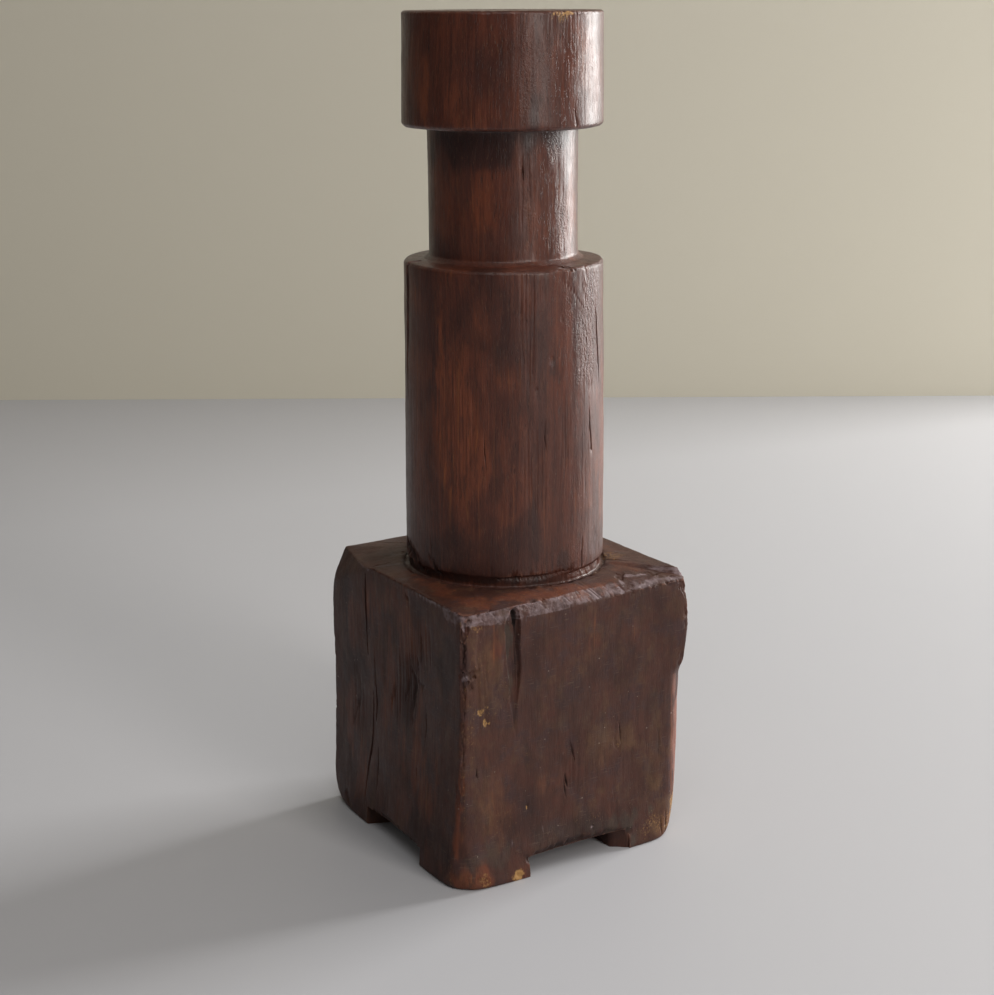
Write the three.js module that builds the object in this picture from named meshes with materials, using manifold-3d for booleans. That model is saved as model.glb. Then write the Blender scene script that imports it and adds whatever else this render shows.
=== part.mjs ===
// A rustic wooden plinth, carved by hand from one length of trunk: a square block on four short feet,
// and above it a column of three drums: a tall one, a slimmer neck, and a broad cap that carries the display.
// Millimetres, +Z up. The block's faces look along X and Y, the grain runs upright, and the origin is on
// the ground under the middle of the whole piece.
import * as THREE from "three";
import { mergeVertices } from "three/addons/utils/BufferGeometryUtils.js";
import Module from "manifold-3d";

const wasm = await Module();
wasm.setup();

// Driving dimensions
const TOTAL_H = 900;
const BLOCK_TOP_Z = 304.5; // the block's top along its edges
const BLOCK_CROWN_Z = 310; // the block's top where the column rises from it
const FACE_X = 141.5; // how far out the block's hewn faces stand, near the top
const FACE_Y = 141;
const COLUMN_R = 108;
const COLUMN_TOP_Z = 644;
const NECK_R = 80.5;
const NECK_TOP_Z = 782;
const CAP_R = 107;
const FOOT_H = 22; // height of the gap between the feet
const GROOVE_W = 4; // the groove that runs round the column's foot
const GROOVE_D = 2.5;

// Fineness of the carved surface
const CORNER_SHARPNESS = 120; // a higher power gives crisper arrises where two hewn planes meet
const SMALLEST_STEP = 0.03; // anything finer than this is closed up after the cuts
const FROM_ARRIS = [0, 1.1, 2.4, 4.2, 7, 10.5, 15, 20.5, 26.5, 33, 39]; // degrees either side of a corner

const rad = THREE.MathUtils.degToRad;
const { lerp, smoothstep } = THREE.MathUtils;

// A smooth bump of height 1 at the middle, falling away over the given half width.
const bump = (distance, halfWidth) => Math.exp(-((distance / halfWidth) ** 2));

// The shortest turn from angle b to angle a, in degrees.
const turn = (a, b) => ((((a - b + 180) % 360) + 360) % 360) - 180;

// A value that is given at a few places and runs straight between them.
function along(stops, at) {
  if (at <= stops[0][0]) return stops[0][1];
  for (let i = 1; i < stops.length; i++) {
    const [x0, v0] = stops[i - 1];
    const [x1, v1] = stops[i];
    if (at <= x1) return lerp(v0, v1, (at - x0) / (x1 - x0));
  }
  return stops[stops.length - 1][1];
}

// The block is what lies inside a number of hewn planes. Each faces the given angle and stands the given
// distance out from the column's axis at the given heights, so it can lean or curve as it goes up.
const CORNER_LEFT = 133;
const CORNER_FRONT = 225;
const CORNER_RIGHT = 316;
const CORNER_BACK = 47;
const HEWN_PLANES = [
  { facing: 0, out: [[0, 138], [60, 143.5], [200, 146], [BLOCK_TOP_Z, 146]] },
  { facing: 90, out: [[0, 154], [40, 156], [BLOCK_TOP_Z, 155]] },
  { facing: 177.6, out: [[0, 150], [25, 148], [60, 145], [150, 142.5], [BLOCK_TOP_Z, 145]] },
  { facing: 180, out: [[0, 155], [100, 146], [200, FACE_X], [BLOCK_TOP_Z, FACE_X]] },
  { facing: 270, out: [[0, 151], [25, 147.5], [60, 144], [150, 141.5], [BLOCK_TOP_Z, FACE_Y]] },
  { facing: CORNER_BACK, out: [[0, 204], [60, 208], [BLOCK_TOP_Z, 208]] },
  { facing: CORNER_FRONT, out: [[0, 201], [60, 201.5], [166, 199], [BLOCK_TOP_Z, 197]] },
];

// The left arris is nearly straight below, and worn back above.
const LEFT_ARRIS = {
  facing: 153,
  out: [[0, 190], [25, 196], [125, 196], [245, 194], [280, 188.5], [BLOCK_TOP_Z, 180]],
};

// A slanting cut takes off the left arris's top, and most of the -X face's top edge beside it.
const SLANTED_CUT = { facing: 166, out: [[200, 204], [BLOCK_TOP_Z, 152.5]] };

// The right arris is full above; below, a long split has taken it off, with a step where the split ran out.
const RIGHT_ARRIS = {
  facing: 322,
  out: [
    [0, 189], [22, 191], [58, 193.5], [130, 197.5], [190, 198.5],
    [198, 199], [210, 203], [238, 207.5], [270, 206.5], [290, 202], [BLOCK_TOP_Z, 198],
  ],
};
const SPLIT = {
  facing: 298,
  out: [[0, 188], [100, 186], [188, 185.5], [196, 189], [203, 196], [225, 204], [BLOCK_TOP_Z, 208]],
};

const PLANES = [...HEWN_PLANES, LEFT_ARRIS, SLANTED_CUT, RIGHT_ARRIS, SPLIT];

// Places where the hand-hewn surface swells (+) or sinks (-): angle, height, half widths and amount.
const SWELLS = [
  { at: 200, z: 190, wide: 13, high: 70, by: -2.5 }, // worn hollow in the -X face
  { at: 246, z: 250, wide: 5, high: 35, by: -2.2 }, // shallow chip beside the front arris
  { at: 275, z: 150, wide: 16, high: 90, by: 1 },
  { at: 20, z: 150, wide: 18, high: 80, by: 1.5 },
  { at: 80, z: 210, wide: 20, high: 70, by: -2 },
  { at: 317, z: 252, wide: 9, high: 32, by: 3.8 }, // the right arris, proud above the split
];

// The angles at which the surface is drawn, closest together at the block's four corners.
const ANGLES = [CORNER_BACK, CORNER_LEFT, CORNER_FRONT, CORNER_RIGHT].flatMap((corner) => [
  ...FROM_ARRIS.slice(1).reverse().map((step) => corner - step),
  ...FROM_ARRIS.map((step) => corner + step),
  corner + 45,
]);
const SEGMENTS = ANGLES.length;

const directionOf = (angle) => [Math.cos(rad(angle)), Math.sin(rad(angle))];

// Distance from the axis to the block's side at an angle and a height.
function blockReach(angle, z) {
  const [ux, uy] = directionOf(angle);
  let crowding = 0;
  for (const plane of PLANES) {
    const [nx, ny] = directionOf(plane.facing);
    const towards = Math.max(0, nx * ux + ny * uy);
    crowding += ((towards * FACE_X) / along(plane.out, z)) ** CORNER_SHARPNESS;
  }
  const flat = FACE_X * crowding ** (-1 / CORNER_SHARPNESS);
  return SWELLS.reduce(
    (reach, s) => reach + s.by * bump(turn(angle, s.at), s.wide) * bump(z - s.z, s.high),
    flat,
  );
}

// The height of the block's top edge around it. On the -X side a crack has let the left part drop.
const CRACK_STEP = 157;
const RIM_HEIGHTS = [
  [0, 307.5], [45, 306], [135, 304.5], [CRACK_STEP - 2, 305], [CRACK_STEP + 2, 308.5], [200, 308.5],
  [218, 307], [228, 304], [300, 304.5], [313, 303.5], [316.5, 301.5], [319, 307], [360, 307.5],
];
const rimZ = (angle) => along(RIM_HEIGHTS, ((angle % 360) + 360) % 360);

// How far the top edge is hewn back, and how far down that bevel starts. The -Y edge has a broad bevel,
// steep at the front corner, flatter to the right, and ending at the right corner.
const BEVEL = [
  { at: 0, back: 2.5, down: 2.5 },
  { at: 140, back: 2.5, down: 2.5 },
  { at: 221, back: 2, down: 3 },
  { at: 228, back: 3, down: 13 },
  { at: 240, back: 3.5, down: 16 },
  { at: 262, back: 6, down: 14.5 },
  { at: 283, back: 12, down: 12 },
  { at: 300, back: 19, down: 9 },
  { at: 313, back: 17, down: 7 },
  { at: 316.5, back: 10, down: 4 },
  { at: 319, back: 3, down: 3 },
  { at: 360, back: 2.5, down: 2.5 },
];
function topBevel(angle) {
  const at = ((angle % 360) + 360) % 360;
  return {
    back: along(BEVEL.map((b) => [b.at, b.back]), at),
    down: along(BEVEL.map((b) => [b.at, b.down]), at),
  };
}

// How far the feet's outer edge is rounded in, and how far up, more at the corners.
function footRound(angle) {
  const corner = [CORNER_BACK, CORNER_LEFT, CORNER_FRONT, CORNER_RIGHT]
    .map((at) => bump(turn(angle, at), 10))
    .reduce((a, b) => a + b);
  return { back: 3 + 5 * corner, up: 5 + 7 * corner };
}

// Each ring of the surface gives a radius and a height at an angle. They run from the underside to the top.
function blockRings() {
  const footArc = [0, 0.3, 0.65, 1];
  const rings = footArc.map((t) => (angle) => {
    const { back, up } = footRound(angle);
    const z = up * (1 - Math.sqrt(1 - t * t));
    return [blockReach(angle, z) - back * (1 - t), z];
  });
  const sideHeights = [25, 42, 60, 95, 130, 166, 192, 199, 206, 215, 225, 245, 262, 278];
  rings.push(...sideHeights.map((z) => (angle) => [blockReach(angle, z), z]));
  const bevelArc = [0, 0.3, 0.75, 1];
  rings.push(
    ...bevelArc.map((t) => (angle) => {
      const { back, down } = topBevel(angle);
      const z = rimZ(angle) - down * (1 - t);
      const softening = 0.8 * Math.sin(Math.PI * t);
      return [blockReach(angle, z) - back * t + softening, z + softening * 0.5];
    }),
  );
  const acrossTop = [0.35, 0.75];
  const rimRadius = (angle) => blockReach(angle, rimZ(angle)) - topBevel(angle).back;
  rings.push(
    ...acrossTop.map((t) => (angle) => [
      lerp(rimRadius(angle), COLUMN_R + GROOVE_W, t),
      lerp(rimZ(angle), BLOCK_CROWN_Z, t),
    ]),
  );
  return rings;
}

// The column leaves the block out of a chiselled groove, and its foot is cut back a little above that.
const columnRings = () => [
  [COLUMN_R + GROOVE_W, BLOCK_CROWN_Z],
  [COLUMN_R + 2, BLOCK_CROWN_Z - GROOVE_D],
  [COLUMN_R - 2.5, BLOCK_CROWN_Z - 1.5],
  [COLUMN_R - 1.5, BLOCK_CROWN_Z + 7],
  [COLUMN_R + 0.5, BLOCK_CROWN_Z + 10],
  [COLUMN_R + 0.6, 430],
  [COLUMN_R, 540],
  [COLUMN_R - 0.3, COLUMN_TOP_Z - 4],
  [COLUMN_R - 1.5, COLUMN_TOP_Z - 1],
  [COLUMN_R - 4, COLUMN_TOP_Z],
  [NECK_R + 7, COLUMN_TOP_Z + 2],
  [NECK_R + 1.5, COLUMN_TOP_Z + 5],
  [NECK_R, COLUMN_TOP_Z + 12],
  [NECK_R - 0.5, 710],
  [NECK_R, NECK_TOP_Z - 2],
  [NECK_R + 2, NECK_TOP_Z],
  [CAP_R - 4, NECK_TOP_Z + 0.5],
  [CAP_R - 1, NECK_TOP_Z + 2],
  [CAP_R, NECK_TOP_Z + 5],
  [CAP_R - 0.8, 840],
  [CAP_R - 1.8, TOTAL_H - 3],
  [CAP_R - 2.8, TOTAL_H - 1],
  [CAP_R - 5, TOTAL_H],
];

// Drums cut by eye are a little out of round, each in its own way.
function outOfRound(angle, z) {
  return 0.6 * Math.cos(rad(2 * angle + z * 0.35)) + 0.4 * Math.cos(rad(3 * angle - z * 0.6 + 40));
}

// Closes a stack of rings into one skin, with a flat underside and a flat top.
function skinOf(rings) {
  const points = [];
  const faces = [];
  for (const ring of rings)
    for (const angle of ANGLES) {
      const [r, z] = ring(angle);
      const [ux, uy] = directionOf(angle);
      points.push(r * ux, r * uy, z);
    }
  for (let k = 0; k + 1 < rings.length; k++)
    for (let i = 0; i < SEGMENTS; i++) {
      const a = k * SEGMENTS + i;
      const b = k * SEGMENTS + ((i + 1) % SEGMENTS);
      faces.push(a, b, b + SEGMENTS, a, b + SEGMENTS, a + SEGMENTS);
    }
  const bottom = points.length / 3;
  points.push(0, 0, 0, 0, 0, TOTAL_H);
  const lastRing = (rings.length - 1) * SEGMENTS;
  for (let i = 0; i < SEGMENTS; i++) {
    const next = (i + 1) % SEGMENTS;
    faces.push(bottom, next, i);
    faces.push(bottom + 1, lastRing + i, lastRing + next);
  }
  return new THREE.BufferGeometry()
    .setAttribute("position", new THREE.Float32BufferAttribute(points, 3))
    .setIndex(faces);
}

// A groove or crack to be cut away: a wedge whose section is a triangle, wide outside and narrow inside.
// Each section gives a height, the middle and width of its mouth across the face, and its depth.
// `place` turns (across, outwards, height) into a point of the block or the column.
function wedgeOf(sections, place) {
  const PROUD = 6; // the cutter stands this far out of the surface
  const points = [];
  const faces = [];
  for (const { z, at, width, depth, lean = 0 } of sections)
    for (const [across, out] of [
      [at - width / 2, PROUD],
      [at + width / 2, PROUD],
      [at + width / 2, 0],
      [at + lean, -depth],
      [at - width / 2, 0],
    ])
      points.push(...place(across, out, z));
  const sides = 5;
  for (let k = 0; k + 1 < sections.length; k++)
    for (let i = 0; i < sides; i++) {
      const a = k * sides + i;
      const b = k * sides + ((i + 1) % sides);
      faces.push(a, b, b + sides, a, b + sides, a + sides);
    }
  const last = (sections.length - 1) * sides;
  for (let i = 1; i + 1 < sides; i++) {
    faces.push(0, i + 1, i);
    faces.push(last, last + i, last + i + 1);
  }
  return new THREE.BufferGeometry()
    .setAttribute("position", new THREE.Float32BufferAttribute(points, 3))
    .setIndex(faces);
}

const onFrontFace = (across, out, z) => [across, -FACE_Y - out, z];
const onLeftFace = (across, out, z) => [-FACE_X - out, across, z];
const onColumn = (angle) => (across, out, z) => {
  const [ux, uy] = directionOf(angle + THREE.MathUtils.radToDeg(across / COLUMN_R));
  return [(COLUMN_R + out) * ux, (COLUMN_R + out) * uy, z];
};

// The deep gouge in the -Y face, steep on its right side and blunt at its top.
const gouge = () =>
  wedgeOf(
    [
      { z: 165, at: -80, width: 1, depth: 0.5 },
      { z: 194, at: -81, width: 4, depth: 2.5, lean: 1 },
      { z: 218, at: -78, width: 12, depth: 7, lean: 4 },
      { z: 241, at: -76.5, width: 17, depth: 11, lean: 5.5 },
      { z: 262, at: -78.5, width: 17, depth: 12, lean: 6 },
      { z: 284, at: -80, width: 15, depth: 12, lean: 5 },
      { z: 299, at: -79.5, width: 10, depth: 9, lean: 3 },
    ],
    onFrontFace,
  );

// The drying crack in the -X face, from the top edge nearly to the ground.
const faceCrack = () =>
  wedgeOf(
    [
      { z: 40, at: 69, width: 1, depth: 3 },
      { z: 85, at: 60, width: 2, depth: 9 },
      { z: 120, at: 55, width: 2.5, depth: 12 },
      { z: 165, at: 48, width: 3, depth: 15 },
      { z: 205, at: 62, width: 3, depth: 18 },
      { z: 270, at: 66, width: 4.5, depth: 22 },
      { z: 325, at: 62, width: 5, depth: 26 },
    ],
    onLeftFace,
  );

// The crack in the column's upper left, open at its rim.
const columnCrack = () =>
  wedgeOf(
    [
      { z: 500, at: 1, width: 0.8, depth: 3 },
      { z: 560, at: 0, width: 2, depth: 12 },
      { z: 660, at: -2, width: 3.5, depth: 24 },
    ],
    onColumn(164),
  );

// The feet are what is left when the underside is cut away in the plan of a cross, its sides hewn by eye.
const GAP_PLAN = [
  [-65, -190], [68, -190], [68, -147], [51, -134], [53, -60],
  [190, -64], [190, 66], [60, 62],
  [62, 190], [-64, 190], [-70, 46],
  [-123, 55], [-190, 82], [-190, -64], [-60, -60],
];
function gapBetweenFeet() {
  const BELOW = 20; // the cutter starts this far under the ground
  const plan = new THREE.Shape(GAP_PLAN.map(([x, y]) => new THREE.Vector2(x, y)));
  const gap = new THREE.ExtrudeGeometry(plan, { depth: FOOT_H + BELOW, bevelEnabled: false });
  return gap.translate(0, 0, -BELOW);
}

// Geometry to solid and back, for the cuts.
function solidOf(geometry) {
  const bare = geometry.clone();
  for (const name of ["normal", "uv"]) bare.deleteAttribute(name);
  const merged = mergeVertices(bare, 1e-3);
  return new wasm.Manifold(
    new wasm.Mesh({
      numProp: 3,
      vertProperties: new Float32Array(merged.attributes.position.array),
      triVerts: new Uint32Array(merged.index.array),
    }),
  );
}

function geometryOf(solid) {
  const mesh = solid.getMesh();
  const geometry = new THREE.BufferGeometry()
    .setAttribute("position", new THREE.BufferAttribute(mesh.vertProperties, 3))
    .setIndex(new THREE.BufferAttribute(mesh.triVerts, 1));
  geometry.computeVertexNormals();
  return geometry;
}

function carvedPlinth() {
  const drums = columnRings().map(([r, z]) => (angle) => [r + outOfRound(angle, z), z]);
  const skin = solidOf(skinOf([...blockRings(), ...drums]));
  const cuts = [gouge(), faceCrack(), columnCrack(), gapBetweenFeet()];
  const carved = cuts.reduce((wood, cut) => wood.subtract(solidOf(cut)), skin);
  return geometryOf(carved.simplify(SMALLEST_STEP));
}

const waxedWood = new THREE.MeshStandardMaterial({ color: 0x4a2a20, roughness: 0.38, metalness: 0 });
const plinth = new THREE.Mesh(carvedPlinth(), waxedWood);
plinth.name = "carved_plinth";

// The whole piece stands centred over the origin.
plinth.geometry.computeBoundingBox();
const middle = plinth.geometry.boundingBox.getCenter(new THREE.Vector3());
plinth.position.set(-middle.x, -middle.y, 0);

const group = new THREE.Group();
group.add(plinth);
export default group;
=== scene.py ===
# A rustic wooden plinth, hand-carved from one length of trunk and waxed dark: a square block on four
# corner feet, and a column of three drums. It stands on a plain floor before a plain wall.
import itertools

import bpy
import numpy as np
from mathutils import Matrix, Vector


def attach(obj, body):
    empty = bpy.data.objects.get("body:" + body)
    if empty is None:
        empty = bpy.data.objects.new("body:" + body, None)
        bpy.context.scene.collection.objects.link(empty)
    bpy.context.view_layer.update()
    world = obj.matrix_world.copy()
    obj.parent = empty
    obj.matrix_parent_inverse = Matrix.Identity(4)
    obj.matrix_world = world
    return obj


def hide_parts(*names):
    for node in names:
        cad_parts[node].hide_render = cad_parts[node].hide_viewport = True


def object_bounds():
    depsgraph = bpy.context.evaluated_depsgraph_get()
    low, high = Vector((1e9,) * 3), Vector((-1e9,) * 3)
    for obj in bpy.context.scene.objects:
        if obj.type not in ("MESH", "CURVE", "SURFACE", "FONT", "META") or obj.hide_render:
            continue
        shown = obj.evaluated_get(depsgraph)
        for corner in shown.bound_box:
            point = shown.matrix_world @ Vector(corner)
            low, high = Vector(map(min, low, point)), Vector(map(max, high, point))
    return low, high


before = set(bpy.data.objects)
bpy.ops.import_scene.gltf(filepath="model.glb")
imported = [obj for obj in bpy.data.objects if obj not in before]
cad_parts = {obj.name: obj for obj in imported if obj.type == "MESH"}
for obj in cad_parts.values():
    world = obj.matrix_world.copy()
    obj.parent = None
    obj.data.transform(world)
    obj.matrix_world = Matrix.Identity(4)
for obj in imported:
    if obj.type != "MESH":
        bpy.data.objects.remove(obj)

cad_box = [list(corner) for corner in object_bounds()]
MM = 0.001

# The camera stands at the left front, just above the height of the cap, and looks down. It has a short
# telephoto lens and is held a quarter of a degree off upright.
AZIMUTH, TILT, ROLL = np.radians((32.27, 14.84, -0.261))
FOCAL_LENGTH_IN_FRAMES = 1904.9 / 995
camera = bpy.data.objects.new("camera", bpy.data.cameras.new("camera"))
bpy.context.scene.collection.objects.link(camera)
bpy.context.scene.camera = camera
camera.data.sensor_width = 36
camera.data.lens = FOCAL_LENGTH_IN_FRAMES * camera.data.sensor_width
level_right = Vector((np.cos(AZIMUTH), -np.sin(AZIMUTH), 0))
level_up = Vector((np.sin(TILT) * np.sin(AZIMUTH), np.sin(TILT) * np.cos(AZIMUTH), np.cos(TILT)))
right = level_right * np.cos(ROLL) + level_up * np.sin(ROLL)
up = level_up * np.cos(ROLL) - level_right * np.sin(ROLL)
turned = Matrix((right, up, right.cross(up))).transposed()
camera.matrix_world = Matrix.LocRotScale(Vector((-1.0894, -1.7165, 0.9171)), turned, None)

# The block: the lower third of the trunk, hewn roughly square with adze and chisel. It is what lies inside
# a number of planes, each facing an angle and standing so far out from the column's axis at given heights.
# Its arrises are worn, and a split has taken the lower part of the right one.
AXIS_AT = np.array([2.03, -3.16, 0])  # from the middle of the whole to the column's axis
BLOCK_TOP_Z, BLOCK_CROWN_Z = 304.5, 310.0
FACE_X, FACE_Y = 141.5, 141.0
CORNERS = {"back": 47, "left": 133, "front": 225, "right": 316}
ARRIS_CRISPNESS = 120
HEWN_PLANES = [
    (0, [(0, 138), (60, 143.5), (200, 146), (BLOCK_TOP_Z, 146)]),
    (90, [(0, 154), (40, 156), (BLOCK_TOP_Z, 155)]),
    (177.6, [(0, 150), (25, 148), (60, 145), (150, 142.5), (BLOCK_TOP_Z, 145)]),
    (180, [(0, 155), (100, 146), (200, FACE_X), (BLOCK_TOP_Z, FACE_X)]),
    (270, [(0, 151), (25, 147.5), (60, 144), (150, 141.5), (BLOCK_TOP_Z, FACE_Y)]),
    (CORNERS["back"], [(0, 204), (60, 208), (BLOCK_TOP_Z, 208)]),
    (CORNERS["front"], [(0, 201), (60, 201.5), (166, 199), (BLOCK_TOP_Z, 197)]),
    # the left arris, worn back above, and the slanting cut that takes off its top
    (153, [(0, 190), (25, 196), (125, 196), (245, 194), (280, 188.5), (BLOCK_TOP_Z, 180)]),
    (166, [(200, 204), (BLOCK_TOP_Z, 152.5)]),
    # the right arris, full above, and the split below it with the step where it ran out
    (322, [(0, 189), (22, 191), (58, 193.5), (130, 197.5), (190, 198.5),
           (198, 199), (210, 203), (238, 207.5), (270, 206.5), (290, 202), (BLOCK_TOP_Z, 198)]),
    (298, [(0, 188), (100, 186), (188, 185.5), (196, 189), (203, 196), (225, 204), (BLOCK_TOP_Z, 208)]),
]
SWELLS = [  # angle, height, half widths and amount
    (200, 190, 13, 70, -2.5), (246, 250, 5, 35, -2.2), (275, 150, 16, 90, 1.0),
    (20, 150, 18, 80, 1.5), (80, 210, 20, 70, -2.0), (317, 252, 9, 32, 3.8),
]
RIM_HEIGHTS = [(0, 307.5), (45, 306), (135, 304.5), (155, 305), (159, 308.5), (200, 308.5), (218, 307),
               (228, 304), (300, 304.5), (313, 303.5), (316.5, 301.5), (319, 307), (360, 307.5)]
BEVEL_BACK = [(0, 2.5), (140, 2.5), (221, 2), (228, 3), (240, 3.5), (262, 6), (283, 12), (300, 19),
              (313, 17), (316.5, 10), (319, 3), (360, 2.5)]
BEVEL_DOWN = [(0, 2.5), (140, 2.5), (221, 3), (228, 13), (240, 16), (262, 14.5), (283, 12), (300, 9),
              (313, 7), (316.5, 4), (319, 3), (360, 2.5)]


def along(stops, at):
    places, values = zip(*stops)
    return np.interp(at, places, values)


def bump(distance, half_width):
    return np.exp(-((distance / half_width) ** 2))


def ease(value, low, high):
    t = np.clip((value - low) / (high - low), 0, 1)
    return t * t * (3 - 2 * t)


def turn(a, b):
    return (a - b + 180) % 360 - 180


def block_reach(angle, z):
    crowding = 0
    crispness = ARRIS_CRISPNESS * (0.4 + 0.6 * ease(z, 0, 50))
    for facing, out in HEWN_PLANES:
        towards = np.maximum(np.cos(np.radians(angle - facing)), 0)
        crowding = crowding + (towards * FACE_X / along(out, z)) ** crispness
    reach = FACE_X * crowding ** (-1 / crispness)
    for at, height, wide, high, by in SWELLS:
        reach = reach + by * bump(turn(angle, at), wide) * bump(z - height, high)
    return reach


def block_rings(angle):
    """Rings of (radius, height) from the feet's soles up the sides, over the bevel and in to the column."""
    at_corner = sum(bump(turn(angle, c), 10) for c in CORNERS.values())
    foot_back, foot_up = 3 + 5 * at_corner, 5 + 7 * at_corner
    rim = along(RIM_HEIGHTS, angle % 360)
    back, down = along(BEVEL_BACK, angle % 360), along(BEVEL_DOWN, angle % 360)
    rings = []
    for t in np.linspace(0, 1, 9):
        z = foot_up * (1 - np.sqrt(1 - t * t))
        rings.append((block_reach(angle, z) - foot_back * (1 - t), z))
    side = np.linspace(0, 1, 142)[1:-1]
    for t in side - 0.35 * np.sin(2 * np.pi * side) / (2 * np.pi):
        z = foot_up + (rim - down - foot_up) * t
        rings.append((block_reach(angle, z), z))
    for t in np.linspace(0, 1, 14):
        z = rim - down * (1 - t)
        softening = 0.8 * np.sin(np.pi * t)
        rings.append((block_reach(angle, z) - back * t + softening, z + softening * 0.5))
    rim_radius = rings[-1][0]
    for t in np.linspace(0, 1, 25)[1:]:
        rings.append((rim_radius + (COLUMN_R + 4 - rim_radius) * t, rim + (BLOCK_CROWN_Z - rim) * t))
    return rings


# The column: three drums cut in the round by eye above the block, a tall one, a slimmer neck and a broad
# cap. Long handling has rounded their edges, and no drum is quite true.
TOTAL_H = 900.0
COLUMN_R, COLUMN_TOP_Z = 108.0, 644.0
NECK_R, NECK_TOP_Z = 80.5, 782.0
CAP_R = 107.0
COLUMN_OUTLINE = [
    (COLUMN_R + 4, BLOCK_CROWN_Z), (COLUMN_R + 2, BLOCK_CROWN_Z - 2.5), (COLUMN_R - 2.5, BLOCK_CROWN_Z - 1.5),
    (COLUMN_R - 1.5, BLOCK_CROWN_Z + 7), (COLUMN_R + 0.5, BLOCK_CROWN_Z + 10), (COLUMN_R + 0.6, 430),
    (COLUMN_R, 540), (COLUMN_R - 0.3, COLUMN_TOP_Z - 3), (COLUMN_R - 3, COLUMN_TOP_Z),
    (NECK_R + 5, COLUMN_TOP_Z + 1.5), (NECK_R, COLUMN_TOP_Z + 6),
    (NECK_R - 0.5, 710), (NECK_R, NECK_TOP_Z - 1), (NECK_R + 1.5, NECK_TOP_Z + 0.5),
    (CAP_R - 3.5, NECK_TOP_Z + 0.5), (CAP_R, NECK_TOP_Z + 4),
    (CAP_R - 0.8, 840), (CAP_R - 1.8, TOTAL_H - 2), (CAP_R - 4.5, TOTAL_H),
]
DRUM_RINGS = 235


def drum_rings(angle):
    """Walks up the outline in half-millimetre steps, softens its edges, and spaces the rings by its turns."""
    corner_r, corner_z = np.array(COLUMN_OUTLINE).T
    length = np.concatenate([[0], np.cumsum(np.hypot(np.diff(corner_r), np.diff(corner_z)))])
    steps = np.arange(0, length[-1], 0.5)
    r, z = np.interp(steps, length, corner_r), np.interp(steps, length, corner_z)
    weights = bump(np.arange(-8, 9), 2.6)
    weights /= weights.sum()
    r, z = (np.convolve(np.pad(v, 8, mode="edge"), weights, "valid") for v in (r, z))
    bend = np.abs(np.diff(np.unwrap(np.arctan2(np.gradient(z), np.gradient(r))), append=0))
    bend[-1] = 0
    share = np.cumsum(0.16 + np.convolve(bend, np.ones(5), "same"))
    picked = np.interp(np.linspace(share[0], share[-1], DRUM_RINGS), share, np.arange(len(share)))
    picked_r, picked_z = (np.interp(picked, np.arange(len(v)), v) for v in (r, z))
    rings = []
    for ring_r, ring_z in zip(picked_r, picked_z):
        untrue = 0.6 * np.cos(np.radians(2 * angle + ring_z * 0.35))
        untrue = untrue + 0.4 * np.cos(np.radians(3 * angle - ring_z * 0.6 + 40))
        rings.append((ring_r + untrue, np.full_like(angle, min(ring_z, TOTAL_H))))
    rim_r = rings[-1][0]
    for inward in (0.985, 0.96, 0.9, 0.8, 0.68, 0.55, 0.42, 0.3, 0.18, 0.08):
        rings.append((rim_r * inward, np.full_like(angle, TOTAL_H)))
    return rings


# The skin over both, closest set where the photograph's two faces of the block show, and at its arrises.
fine = np.arange(0, 360, 0.05)
closeness = 1 + 1.1 * ease(np.cos(np.radians(fine - 232)), -0.35, 0.1)
for corner in CORNERS.values():
    closeness += 1.2 * bump(turn(fine, corner), 3.5)
share = np.cumsum(closeness)
AROUND = 1050
angles = np.interp(np.arange(AROUND) / AROUND * share[-1], share, fine)
rings = block_rings(angles) + drum_rings(angles)
skin = np.array([[r * np.cos(np.radians(angles)), r * np.sin(np.radians(angles)), z] for r, z in rings])
skin = skin.transpose(0, 2, 1)


def outward(surface):
    up = np.gradient(surface, axis=0)
    onward = np.roll(surface, -1, axis=1) - np.roll(surface, 1, axis=1)
    normal = np.cross(onward, up)
    return normal / (np.linalg.norm(normal, axis=2, keepdims=True) + 1e-9)


# Time and tools have marked the wood: drying cracks that follow the upright grain, a deep gouge, chips
# knocked off the arrises, chisel nicks along the bevel, and places where the surface has scaled off.
def drift(points, seed):
    """Smooth noise from -1 to 1, one cell to the unit."""
    cell = np.floor(points).astype(np.int64)
    inside = points - cell
    inside = inside * inside * (3 - 2 * inside)
    total = 0
    for corner in itertools.product((0, 1), repeat=3):
        key = (cell + corner) @ np.array([73856093, 19349663, 83492791]) + seed * 7919
        key = (key ^ (key >> 13)) * 1274126177 & 0x7FFFFFFF
        key = (key ^ (key >> 15)) * 668265263 & 0x7FFFFFFF
        weight = np.prod(np.where(corner, inside, 1 - inside), axis=-1)
        total = total + weight * (key / 0x3FFFFFFF - 1)
    return total


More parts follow.
